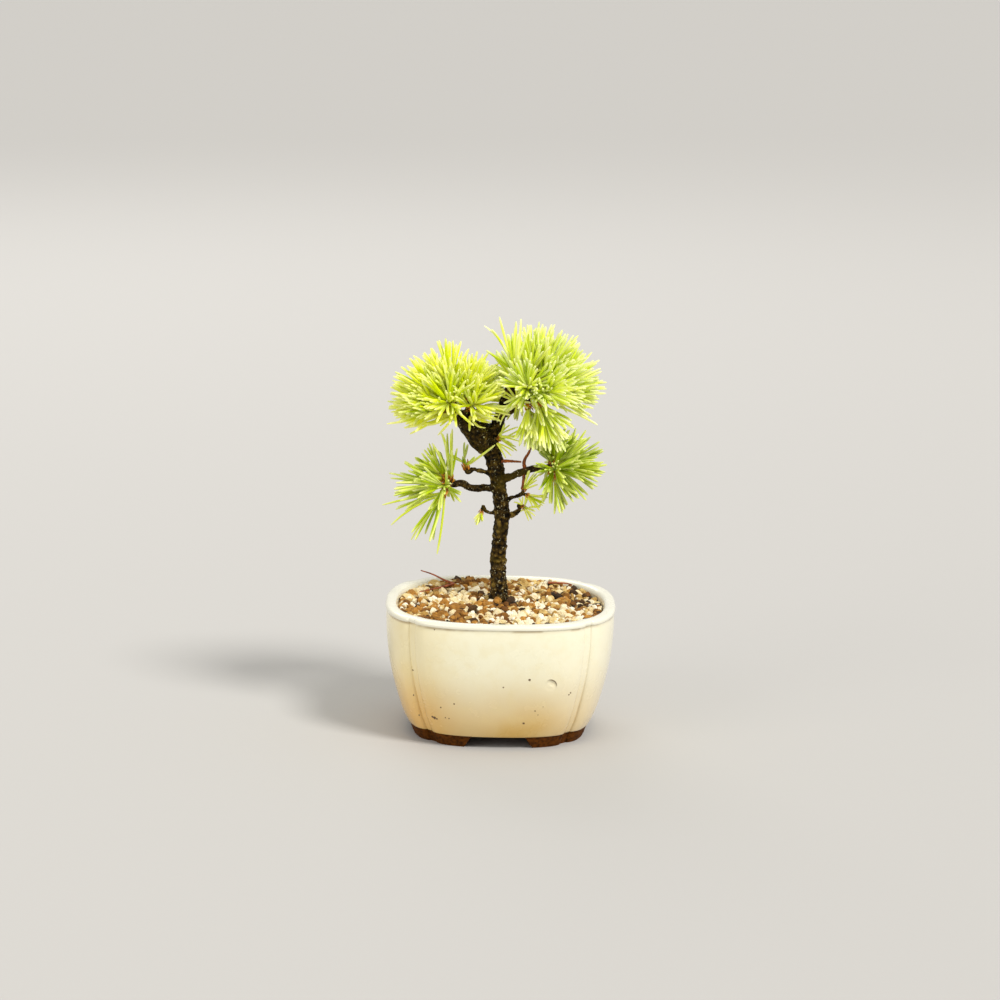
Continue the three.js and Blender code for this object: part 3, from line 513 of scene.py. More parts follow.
def glaze_finish():
    """Heights and places in it are metres, because Object coordinates are."""
    glaze = Finish("cream_glaze", roughness=0.2)
    sideways, back, height = glaze.axes()
    # painted light on the lip and painted shade in the crease under it
    lip_lit_and_shaded = light_and_shade_lip(glaze, glaze_run_and_light(glaze, sideways, back, height), height)
    # painted shade along the edges of the corner strips, stronger low on the wall
    low = glaze.between(height, 0.016, 0.034, 0.24, 0.0)
    strip_edge_shaded = glaze.mix(glaze.math("MULTIPLY", glaze.attribute("strip"), low), lip_lit_and_shaded, (178, 148, 88))
    flat = glaze.add("ShaderNodeCombineXYZ", {"X": sideways, "Z": height}).outputs[0]
    front = glaze.math("LESS_THAN", back, -0.03)
    # painted shade on the upper right edge of the crescent
    crescent_shaded = glaze.mix(glaze.math("MULTIPLY", crescent_shade_line(glaze, flat), front), strip_edge_shaded, (84, 60, 26))
    glaze.colour(glaze.mix(glaze.math("MULTIPLY", pinholes(glaze, flat), front), crescent_shaded, (88, 60, 24)))
    glaze.rough(glaze.between(glaze.noise(90, 3), 0.3, 0.75, 0.16, 0.32))
    glaze.bump(glaze.noise(70, 2), 0.10, 0.0012)
    glaze.bump(glaze.noise(900, 3), 0.05, 0.0002)
    glaze.shader.inputs["Coat Weight"].default_value = 0.35
    glaze.shader.inputs["Coat Roughness"].default_value = 0.08
    return glaze.material


def clay_finish():
    clay = Finish("bare_clay", roughness=0.85)
    base = clay.cloud(700, 4, (94, 50, 4), (54, 26, 0), 0.35, 0.7)
    grit = clay.between(clay.cells(900), 0.0, 0.25, 0.25, 0.0)
    clay.colour(clay.mix(grit, base, (128, 92, 30)))
    clay.shader.inputs["Specular IOR Level"].default_value = 0.12
    clay.bump(clay.noise(1400, 4), 0.4, 0.0003)
    return clay.material


STRIP_SHADE_WIDTH = 0.5            # how wide the painted shade along each edge of a corner strip is
LIP_START = 56
# painted shade along both edges of each corner strip, below the lip
strip_shade = pot.data.attributes.new("strip", "FLOAT", "POINT")
for vertex in pot.data.vertices:
    x, y, z = vertex.co / MM
    angle = math.atan2(abs(y), abs(x))
    away = abs(math.hypot(x, y) * math.sin(angle - math.pi / 4))
    line = math.exp(-((away - STRIP_HALF) / STRIP_SHADE_WIDTH) ** 2)
    strip_shade.data[vertex.index].value = line if z < LIP_START else 0.0
pot.data.materials.append(glaze_finish())
pot.data.materials.append(clay_finish())
for polygon in pot.data.polygons:
    radius = math.hypot(polygon.center.x, polygon.center.y) / MM
    under = polygon.center.z < (FOOT_HEIGHT + 0.02) * MM
    in_hole = radius < HOLE_RADIUS + 0.3 and polygon.center.z < (FLOOR_TOP + 0.1) * MM
    polygon.material_index = int(under or in_hole)
settle(pot, "cream_glaze", None, "pot")
print("pot finished, pinholes:", len(PINHOLES))

# %% [markdown]
# ## The screen over the hole
# A square of black plastic screen keeps the grains in. It is only seen from below, through the hole, so the
# frame's own solid is right as it is and only needs its finish.

# %% The screen's finish
screen = Finish("screen_plastic", roughness=0.5)
screen.colour(screen.cloud(900, 2, (30, 32, 34), (44, 46, 48)))
screen.bump(screen.noise(1500, 2), 0.2, 0.0001)
screen_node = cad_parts["drainage_mesh"]
screen_node.data.materials.clear()
screen_node.data.materials.append(screen.material)
print("screen finished")

# %% [markdown]
# ## The soil
# Growers of pines use grains: white pumice, and baked clay in orange and brown, with a few dark ones. They
# are two to five millimetres across. Under them lies a bed, dark as painted shade, that only shows in the
# gaps. The grains are a few angular lumps, each modelled once, and copied with a random size, turn and tone.

# %% The bed under the grains
SOIL_TOP = 57.0
TRUNK_PLACE = Vector((-0.9, 7.0))


def soil_height(x, y):
    mound = 1.3 * math.exp(-((x + 1) ** 2 + (y - TRUNK_PLACE.y) ** 2) / 260)
    low_right = -1.1 / (1 + math.exp(-(x - 30) / 5))
    heaps = 0.5 * math.sin(x * 0.17 + 1) * math.cos(y * 0.21)
    high_back = 1.7 / (1 + math.exp(-(y - 30) / 4))
    return SOIL_TOP - 0.7 + mound + low_right + heaps + high_back


WALL_GAP = 0.5
BED_DROP = 2.2
bed_rings = [(half - WALL_GAP, height + 0.4, 0) for half, height, _ in INSIDE[:4:-1]]
bed_half = bed_rings[-1][0]
bed_rings[-1] = (bed_half, SOIL_TOP - BED_DROP, 0)
bed_rings += [(bed_half * share, SOIL_TOP - BED_DROP, 0) for share in (0.9, 0.78, 0.64, 0.5, 0.36, 0.22)]
bed = drawn_pot("soil_bed", bed_rings, lambda i: INSIDE_POWER)
for vertex in bed.data.vertices:
    x, y, z = vertex.co / MM
    if z > SOIL_TOP - BED_DROP - 0.1 and math.hypot(x, y) < bed_half * 0.95:
        rough = 0.5 * noise.noise(Vector((x, y, 0)) * 0.6)
        vertex.co.z = (soil_height(x, y) - BED_DROP + rough) * MM
# the bed's dark colour is painted shade in the gaps between the grains
bed_shade_finish = Finish("shaded_bed", roughness=0.95)
bed_shade_finish.colour(bed_shade_finish.cloud(600, 4, (28, 16, 4), (66, 40, 12)))
bed_shade_finish.bump(bed_shade_finish.cells(700), 0.8, 0.0006)
settle(bed, "pumice_and_clay", bed_shade_finish.material, "soil")
print("soil bed faces:", len(bed.data.polygons))


# %% Model a few lumps for each kind of grain
LONG = 1.2                  # a grain's length against its breadth


def draw_depth(cut, seed):
    """How deep a cut goes, from 0 to 1."""
    return 0.5 + 0.5 * math.sin(cut.x * 9.1 + cut.y * 5.3 + seed)


def lump(seed, sharp, flat):
    """One grain: a ball of eighty faces, drawn long, pressed flat and cut into facets."""
    start_clean()
    bpy.ops.mesh.primitive_ico_sphere_add(subdivisions=2, radius=1.0)
    grain = bpy.context.object
    shift = Vector((seed * 7.3, seed * 3.1, seed * 5.7))
    draw = random.Random(seed)
    cuts = [Vector((draw.gauss(0, 1), draw.gauss(0, 1), draw.gauss(0, 1))).normalized() for _ in range(7)]
    for vertex in grain.data.vertices:
        out = vertex.co.normalized()
        size = 1 + 0.32 * noise.noise(out * 1.3 + shift) + 0.16 * noise.noise(out * 3.1 + shift)
        place = out * size
        for cut in cuts:
            over = place.dot(cut) - (1 - sharp * draw_depth(cut, seed))
            if over > 0:
                place -= cut * over
        vertex.co = Vector((place.x * LONG, place.y, place.z * flat))
    return grain


# %% Collect copies of a shape
def take_shape(obj):
    """The points and faces of a pattern piece, which is then removed."""
    points = np.array([vertex.co[:] for vertex in obj.data.vertices])
    faces = [list(polygon.vertices) for polygon in obj.data.polygons]
    bpy.data.objects.remove(obj)
    return points, faces


class Bunch:
    """Collects copies of small shapes into one piece, with numbers for its finish at every point."""

    def __init__(self):
        self.points, self.faces, self.numbers = [], [], {}
        self.total = 0

    def add(self, points, faces, **numbers):
        self.points.append(points)
        self.faces += [[corner + self.total for corner in face] for face in faces]
        for key, values in numbers.items():
            self.numbers.setdefault(key, []).append(np.broadcast_to(values, len(points)))
        self.total += len(points)

    def finish(self, name):
        mesh = bpy.data.meshes.new(name)
        mesh.from_pydata(np.vstack(self.points).tolist(), [], self.faces)
        for key, values in self.numbers.items():
            attribute = mesh.attributes.new(key, "FLOAT", "POINT")
            attribute.data.foreach_set("value", np.concatenate(values).astype(np.float32))
        obj = bpy.data.objects.new(name, mesh)
        bpy.context.collection.objects.link(obj)
        return obj


class Grains(Bunch):
    """A bunch of one kind of grain, made of a few lumps in turn."""

    def __init__(self, lumps):
        super().__init__()
        self.shapes = [take_shape(obj) for obj in lumps]
        self.count = 0

    def lay(self, x, y, z, size, turn, tone):
        """A grain with its middle at x, y and z, and about as large as its size, all in mm."""
        points, faces = self.shapes[self.count % len(self.shapes)]
        spun = points @ np.array(turn.to_matrix()).T
        self.add(spun * (size * MM) + np.array((x * MM, y * MM, z * MM)), faces, tone=tone)
        self.count += 1


LUMPS = {   # how many lumps, the first one's seed, how sharply they are cut and how flat they are
    "pumice": (5, 10, 0.62, 0.85), "cream": (4, 30, 0.58, 0.8),
    "clay": (5, 50, 0.45, 0.85), "dark": (3, 70, 0.5, 0.8),
}
KINDS = {
    kind: Grains([lump(seed + i, sharp, flat) for i in range(count)])
    for kind, (count, seed, sharp, flat) in LUMPS.items()
}
print("kinds of grain:", list(KINDS))

# %% [markdown]
# The grains are strewn with a seeded draw, so the scene is the same every time. A grid of loose places keeps
# them from piling up in one spot. Patches decide the kind: the photo shows brown clods at the front left and
# the right, and white heaps in the middle of the front.

# %% Strew the grains
PATCHES = [   # x, y, reach, kind, strength
    (-26, -30, 15, "clay", 2.6), (-8, -34, 8, "clay", 2.0), (12, -34, 16, "pumice", 3.0),
    (28, -18, 9, "pumice", 2.2), (36, -12, 9, "clay", 2.4), (-34, 2, 10, "pumice", 1.6),
    (3, -8, 6, "clay", 1.8), (-12, 38, 9, "clay", 1.8), (-18, 10, 12, "pumice", 1.4),
    (36, 8, 9, "dark", 1.2), (22, 30, 9, "cream", 1.2), (4, -3, 4, "dark", 2.5),
]
PEBBLES = [   # larger grains that the eye picks out: x, y, radius, kind
    (21.9, 38.1, 2.0, "dark"), (28.4, 25.2, 1.8, "dark"), (33.6, 33.8, 2.0, "dark"),
    (33.8, 26.7, 2.5, "dark"), (36.7, 11.6, 2.3, "dark"), (4.5, 3.0, 2.7, "dark"),
    (-12.2, 16.0, 2.3, "clay"), (-9.0, 16.3, 2.3, "dark"), (-26.6, 27.1, 2.0, "clay"),
    (-40.7, 19.7, 2.7, "clay"), (-33.6, 28.6, 1.8, "dark"), (-20.2, 41.7, 2.3, "dark"),
    (-14.2, 42.8, 2.7, "clay"), (-7.5, 41.3, 2.7, "clay"), (-1.1, -17.4, 2.7, "pumice"),
    (3.9, -17.0, 2.7, "pumice"), (6.5, -22.7, 2.3, "pumice"), (9.7, -18.5, 2.7, "pumice"),
    (11.9, -22.3, 2.3, "pumice"), (23.6, -13.5, 2.7, "pumice"), (27.2, -15.2, 3.2, "pumice"),
    (30.3, -16.9, 2.3, "pumice"), (-15.3, 9.6, 2.3, "pumice"), (-11.7, -31.8, 2.7, "pumice"),
    (-21.0, -5.0, 2.7, "clay"), (-17.3, -10.7, 2.7, "clay"), (-13.8, -6.4, 2.7, "clay"),
    (-19.3, -24.6, 2.3, "clay"), (-15.4, -22.4, 2.3, "clay"), (-10.2, -2.1, 2.3, "clay"),
    (-1.6, 2.0, 2.7, "clay"), (12.9, -1.4, 2.5, "clay"), (16.7, -12.0, 2.3, "clay"),
    (27.4, 5.8, 2.9, "clay"), (30.3, 11.1, 2.3, "clay"), (34.6, -6.7, 2.3, "clay"),
    (39.2, -20.2, 2.7, "clay"), (40.9, 14.0, 2.3, "pumice"), (-34.3, -14.0, 2.3, "clay"),
    (-28.3, -23.4, 2.7, "clay"), (-31.7, -9.8, 2.3, "cream"), (-25.2, -21.2, 2.3, "clay"),
    (21.4, 26.9, 2.0, "clay"),
]
SHARES = {"pumice": 1.0, "cream": 0.55, "clay": 0.62, "dark": 0.16}     # where there is no patch


def kind_at(x, y, draw):
    weights = dict(SHARES)
    for px, py, reach, kind, strength in PATCHES:
        near = math.exp(-((x - px) ** 2 + (y - py) ** 2) / (2 * reach ** 2))
        weights[kind] += strength * near * SHARES["pumice"]
    names = list(weights)
    return draw.choices(names, [weights[name] for name in names])[0]


INSIDE_HALF = 46.4          # half the width of the pot's inside, at the soil's height
BED_HALF = 48               # how far out from the middle the rows of places go
TRUNK_ROOM = 4.1            # no grain's middle lies nearer to the trunk's line
LARGE_SHARE, LARGE = 0.12, 1.25     # this share of the grains is larger by so much
ROW_SHARE = 0.87            # how far apart the rows are, against the pitch
SCATTER = 0.38              # how far a grain may lie off its place, against the pitch
LIE_SCATTER = 0.45          # and how much higher or lower it may lie, in mm
SUNK = 0.35                 # how much of a pebble's radius lies in the soil


def any_turn(draw):
    return Quaternion([draw.gauss(0, 1) for _ in range(4)]).normalized()


def inside_wall(x, y, spare):
    half = INSIDE_HALF - spare
    return (abs(x) / half) ** INSIDE_POWER + (abs(y) / half) ** INSIDE_POWER < 1


def taken(x, y, size):
    """True where the wall, the trunk or a large grain already is."""
    near_trunk = (Vector((x, y)) - TRUNK_PLACE).length < TRUNK_ROOM + size * 0.4
    near_pebble = any(math.hypot(x - px, y - py) < radius * 0.75 for px, py, radius, _ in PEBBLES)
    return near_trunk or near_pebble or not inside_wall(x, y, size * 0.95)


def strew(pitch, drop, sizes, seed):
    """A layer of grains, a pitch apart and dropped below the top of the soil."""
    draw = random.Random(seed)
    steps = int(BED_HALF / pitch)
    for row in range(-steps, steps + 1):
        for column in range(-steps, steps + 1):
            x = (column + 0.5 * (row % 2) + draw.uniform(-SCATTER, SCATTER)) * pitch
            y = row * pitch * ROW_SHARE + draw.uniform(-SCATTER, SCATTER) * pitch
            size = draw.uniform(*sizes) * (LARGE if draw.random() < LARGE_SHARE else 1.0)
            turn = any_turn(draw)
            tone = draw.random()
            if taken(x, y, size):
                continue
            z = soil_height(x, y) - drop + draw.uniform(-LIE_SCATTER, LIE_SCATTER)
            KINDS[kind_at(x, y, draw)].lay(x, y, z, size, turn, tone)


def line_wall(pitch, sizes, seed):
    """One row of grains round the edge, against the wall of the pot."""
    draw = random.Random(seed)
    around = round(2 * math.pi * INSIDE_HALF / pitch)
    for number in range(around):
        angle = 2 * math.pi * number / around
        size = draw.uniform(*sizes)
        radius = (INSIDE_HALF - size) * rounded_square(angle, INSIDE_POWER)
        x, y = radius * math.sin(angle), -radius * math.cos(angle)
        turn = any_turn(draw)
        z = soil_height(x, y) + draw.uniform(-1.5, -0.3)
        KINDS[kind_at(x, y, draw)].lay(x, y, z, size, turn, draw.random())


pebble_draw = random.Random(4)
for x, y, radius, kind in PEBBLES:
    turn = any_turn(pebble_draw)
    z = soil_height(x, y) - SUNK * radius + 0.3
    KINDS[kind].lay(x, y, z, radius, turn, pebble_draw.uniform(0.3, 1.0))
strew(3.6, 1.9, (1.7, 2.3), 5)
strew(3.9, 0.75, (1.4, 2.5), 6)
strew(5.2, -0.1, (0.8, 1.7), 7)
line_wall(2.6, (1.2, 2.0), 8)
print("grains:", {kind: grains.count for kind, grains in KINDS.items()})


# %% Finishes of the grains
def grain_finish(name, dark, light, pits, stain):
    grain = Finish(name, roughness=0.92)
    tone = grain.attribute("tone")
    base = grain.mix(tone, dark, light)
    grey = grain.between(grain.noise(420, 4), 0.40, 0.72, 0.0, 0.6)
    spotted = grain.mix(grey, base, stain)
    # painted shade in the pits
    pit_shade = grain.between(grain.cells(pits), 0.05, 0.28, 0.55, 0.0)
    grain.colour(grain.mix(pit_shade, spotted, tuple(int(c * 0.55) for c in dark)))
    grain.bump(grain.cells(pits), 0.7, 0.00035)
    grain.bump(grain.noise(2400, 4), 0.35, 0.00015)
    return grain.material


GRAIN_FINISHES = {   # dark tone, light tone, how fine the pits are, and the stain
    "pumice": ((228, 206, 150), (255, 252, 236), 1500, (208, 178, 106)),
    "cream": ((176, 138, 68), (228, 200, 132), 1200, (150, 108, 44)),
    "clay": ((98, 56, 2), (192, 136, 54), 900, (80, 44, 2)),
    "dark": ((30, 16, 0), (92, 60, 18), 1100, (22, 12, 0)),
}
for kind, grains in KINDS.items():
    piece = grains.finish(f"{kind}_grains")
    settle(piece, "pumice_and_clay", grain_finish(f"{kind}_grain", *GRAIN_FINISHES[kind]))
    print(piece.name, "faces:", len(piece.data.polygons))

# %% [markdown]
# ## The wood
# A young pine's trunk is a slightly wandering pole with rings of old branch scars. Where it was cut back it
# has swollen into a knob, and two arms grow out of that. Each limb is drawn as a curve with its own radius
# along the way, then turned into a mesh. A remesh melts them into one skin, so that no seam shows at a fork.

# %% The limbs: points and radii
LIMBS = {
    "trunk": (
        [(-0.8, 7, 50), (-0.9, 7, 58), (-0.8, 7, 63), (-1.3, 7, 71), (-1.3, 6.6, 78), (-1, 6, 85),
         (-0.3, 5.6, 92), (-0.2, 5, 99), (-0.8, 4.4, 104), (-1.5, 4, 109), (-2.3, 4, 114), (-3.6, 4, 120),
         (-4.6, 4, 124.9), (-7.5, 4, 130.4), (-9.7, 4, 135.4)],
        [3.4, 4.2, 4.0, 3.6, 3.5, 3.4, 3.5, 3.5, 3.5, 3.4, 3.5, 3.7, 4.1, 5.6, 6.4],
    ),
    "head": ([(-6.7, 3.5, 128.9), (-10.3, 3, 133.8), (-11.9, 4, 139.3)], [5.2, 6.6, 4.4]),
    "headBack": ([(-6.2, 6, 128.9), (-7.8, 8, 133.9), (-8.4, 8.5, 137.9)], [4.6, 4.6, 2.8]),
    "leftArm": (
        [(-10.3, 4, 131.8), (-15.9, 3.6, 138.2), (-19.9, 3.4, 141.7), (-22.5, 3.2, 144.6)],
        [5.2, 4.5, 3.0, 2.1],
    ),
    "leftFork": ([(-14.4, 3.5, 137.8), (-14, 4.2, 142.8), (-16.1, 5, 147.7)], [3.3, 2.3, 1.5]),
    "rightArm": ([(-6.7, 4, 129.9), (-3.6, 3.6, 137), (-1.5, 3, 144), (0, 2.6, 150)], [4.2, 3.2, 2.4, 2.1]),
    "rightTop": ([(-0.9, 2.8, 146), (0.9, 1.6, 153), (3.5, 0.5, 158.6)], [2.2, 1.8, 1.4]),
    "rightOut": (
        [(-1.5, 2.9, 143), (4.5, 1.5, 147.1), (9.4, 1.5, 151.2), (13.4, 2.5, 154.3)],
        [2.2, 2.0, 1.8, 1.5],
    ),
    "rightBack": ([(-0.5, 3, 147.5), (3.4, 7, 152.1), (7.3, 11, 157.2)], [2, 1.6, 1.3]),
    "lowerLeft": (
        [(-1.5, 4, 109.5), (-8.9, 3.4, 109.7), (-14.5, 3, 109.8), (-17.9, 2.6, 111.7), (-22.9, 2, 111.2)],
        [2.3, 1.6, 1.6, 1.7, 1.5],
    ),
    "upperLeft": ([(-3.5, 4, 115), (-9, 3.6, 117.2), (-13.4, 3, 118.5)], [1.4, 1.0, 0.95]),
    "lowerRight": (
        [(-1, 4.3, 113), (4.2, 3.6, 115.3), (9.5, 3, 117.6), (14.5, 2.7, 119.2), (19, 2.4, 119.4)],
        [2.3, 1.7, 1.7, 1.5, 1.6],
    ),
    "twigUpper": ([(0.7, 4.4, 103.6), (4.6, 4.2, 105.3), (8.8, 3.4, 107.2)], [1.5, 0.95, 1.0]),
    "twigLower": ([(1.1, 4.8, 96.4), (5.3, 4.5, 97.7), (8.3, 3.8, 100)], [1.5, 1.05, 1.0]),
    "twigLeft": ([(-1.9, 5.2, 98.2), (-5.1, 4.8, 97.9), (-7.7, 4.4, 98.7)], [1.3, 0.75, 0.8]),
}
DRY_TWIGS = {
    "dryAcross": ([(-2.1, 3.4, 122), (2.4, 1.6, 122.5), (8.3, 0.8, 122.4)], [0.9, 0.7, 0.4]),
    "dryUp": (
        [(10, 3, 118.2), (9.6, 1.8, 122.6), (11.8, 1.2, 127.2), (12.7, 1, 131.2)],
        [1.0, 0.75, 0.6, 0.4],
    ),
    "dryDown": ([(9.6, 3, 117.2), (9.3, 2, 112.8), (8.6, 1.6, 109.6)], [0.9, 0.65, 0.45]),
}
print("limbs:", len(LIMBS) + len(DRY_TWIGS))

# %% [markdown]
# ## Where the sprays sit
# The next table is the plan of the crown. Each spray has a base, the way it points, a number of needles,
# their length and how wide they open. A few also name the limb that carries them, where it is not the main
# one of their head. A short twig joins each spray to its limb.

# %% The sprays
HEADS = {
    "upperLeft": ("leftArm", 7.0, -0.12, [
        ((-27.5, 1, 146.5), (-1, -0.1, 0.16), 26, 18.5, 46),
        ((-27, 0, 149), (-0.85, -0.2, 0.6), 26, 20, 52), ((-23, 2, 151.5), (-0.3, 0, 1), 26, 20, 52),
        ((-17.5, 1, 150.7), (0.35, -0.3, 0.9), 24, 16.5, 52, "leftFork"),
        ((-23.1, -3.2, 148.3), (-0.4, -1, 0.5), 24, 19, 58),
        ((-15.5, -2.5, 147), (0.5, -0.8, 0.6), 22, 17, 54),
        ((-26.5, -2.5, 145.5), (-0.9, -0.6, 0.1), 22, 18, 42),
        ((-25, 8, 147.6), (-0.55, 1, 0.4), 26, 19.5, 56),
        ((-15.5, 9, 148.7), (0.35, 0.9, 0.6), 24, 17.5, 56, "leftFork"),
        ((-21.5, 7.5, 144.5), (-0.4, 1, -0.05), 20, 18, 50),
    ]),
    "upperRight": ("rightOut", 7.5, -1.0, [
        ((5, -2, 162.7), (-0.15, -0.35, 1), 9, 19, 26, "rightTop"),
        ((10.5, 1, 160.5), (0.35, 0.05, 1), 24, 19.5, 38, "rightTop"),
        ((16, 1, 159), (0.5, -0.05, 1), 28, 19.5, 50), ((18.8, 1, 155.5), (1, -0.05, 0.5), 28, 20, 50),
        ((18.8, 0, 152.6), (1, -0.1, 0.4), 24, 21, 34), ((15.5, -3, 149.5), (0.42, -0.5, -0.8), 24, 18, 36),
        ((10.8, -5, 156.3), (-0.1, -1, 0.4), 26, 17, 54), ((16.4, -5, 154.5), (0.6, -1, 0.4), 26, 18, 52),
        ((11, -4, 149), (0.12, -0.55, -1), 12, 14.5, 30),
        ((11.2, 9, 158.5), (0.25, 1, 0.6), 28, 19, 52, "rightBack"),
        ((17.3, 8, 154.8), (0.9, 0.9, 0.5), 26, 20, 46),
        ((8.3, 14, 152.5), (0, 1, -0.1), 24, 18, 54, "rightBack"),
        ((4.5, 9.5, 158), (-0.15, 0.9, 0.5), 20, 13, 46, "rightBack"),
    ]),
    "lowerLeft": ("lowerLeft", 5.5, -1.0, [
        ((-26.9, 1.5, 111.5), (-1, 0, -0.12), 20, 19.5, 34),
        ((-26, 2, 114.2), (-0.8, 0.1, 0.7), 22, 12.5, 48),
        ((-23.5, -0.5, 114.1), (-0.12, -0.25, 1), 8, 17, 13),
        ((-26, -1, 108.5), (-0.6, -0.25, -1), 9, 23, 30),
        ((-24.9, -3, 111.6), (-0.55, -1, 0.1), 16, 15.5, 56),
        ((-25, 6.5, 112.3), (-0.5, 1, 0.1), 18, 13.5, 54),
        ((-16.6, 2, 119.3), (-0.25, -0.2, 0.9), 8, 7, 60, "upperLeft"),
    ]),
    "lowerRight": ("lowerRight", 5.0, -1.0, [
        ((22, 2, 122), (0.35, 0, 1), 24, 13, 56), ((24, 1.5, 120.2), (1, -0.05, 0.12), 26, 18.5, 48),
        ((22.3, 1, 117), (0.4, -0.2, -1), 10, 13.5, 34), ((22.4, -2.5, 120), (0.45, -1, 0.15), 20, 14, 54),
        ((21.9, 7, 120.8), (0.4, 1, 0.15), 22, 14.5, 60),
    ]),
    "shoots": ("twigUpper", 3.0, -1.0, [
        ((-2, -0.6, 133), (0.9, -0.45, 0.02), 12, 9, 60, "rightArm"),
        ((9.7, 2.2, 109.5), (0.5, -0.1, 1), 8, 8, 32), ((11.4, 2.7, 106.6), (1, -0.2, -0.35), 10, 7.5, 42),
        ((9.6, 3.2, 101.2), (0.6, -0.25, -0.1), 12, 6, 76, "twigLower"),
        ((-9.4, 3.7, 98.4), (-0.3, -0.25, -1), 8, 4.5, 34, "twigLeft"),
    ]),
}
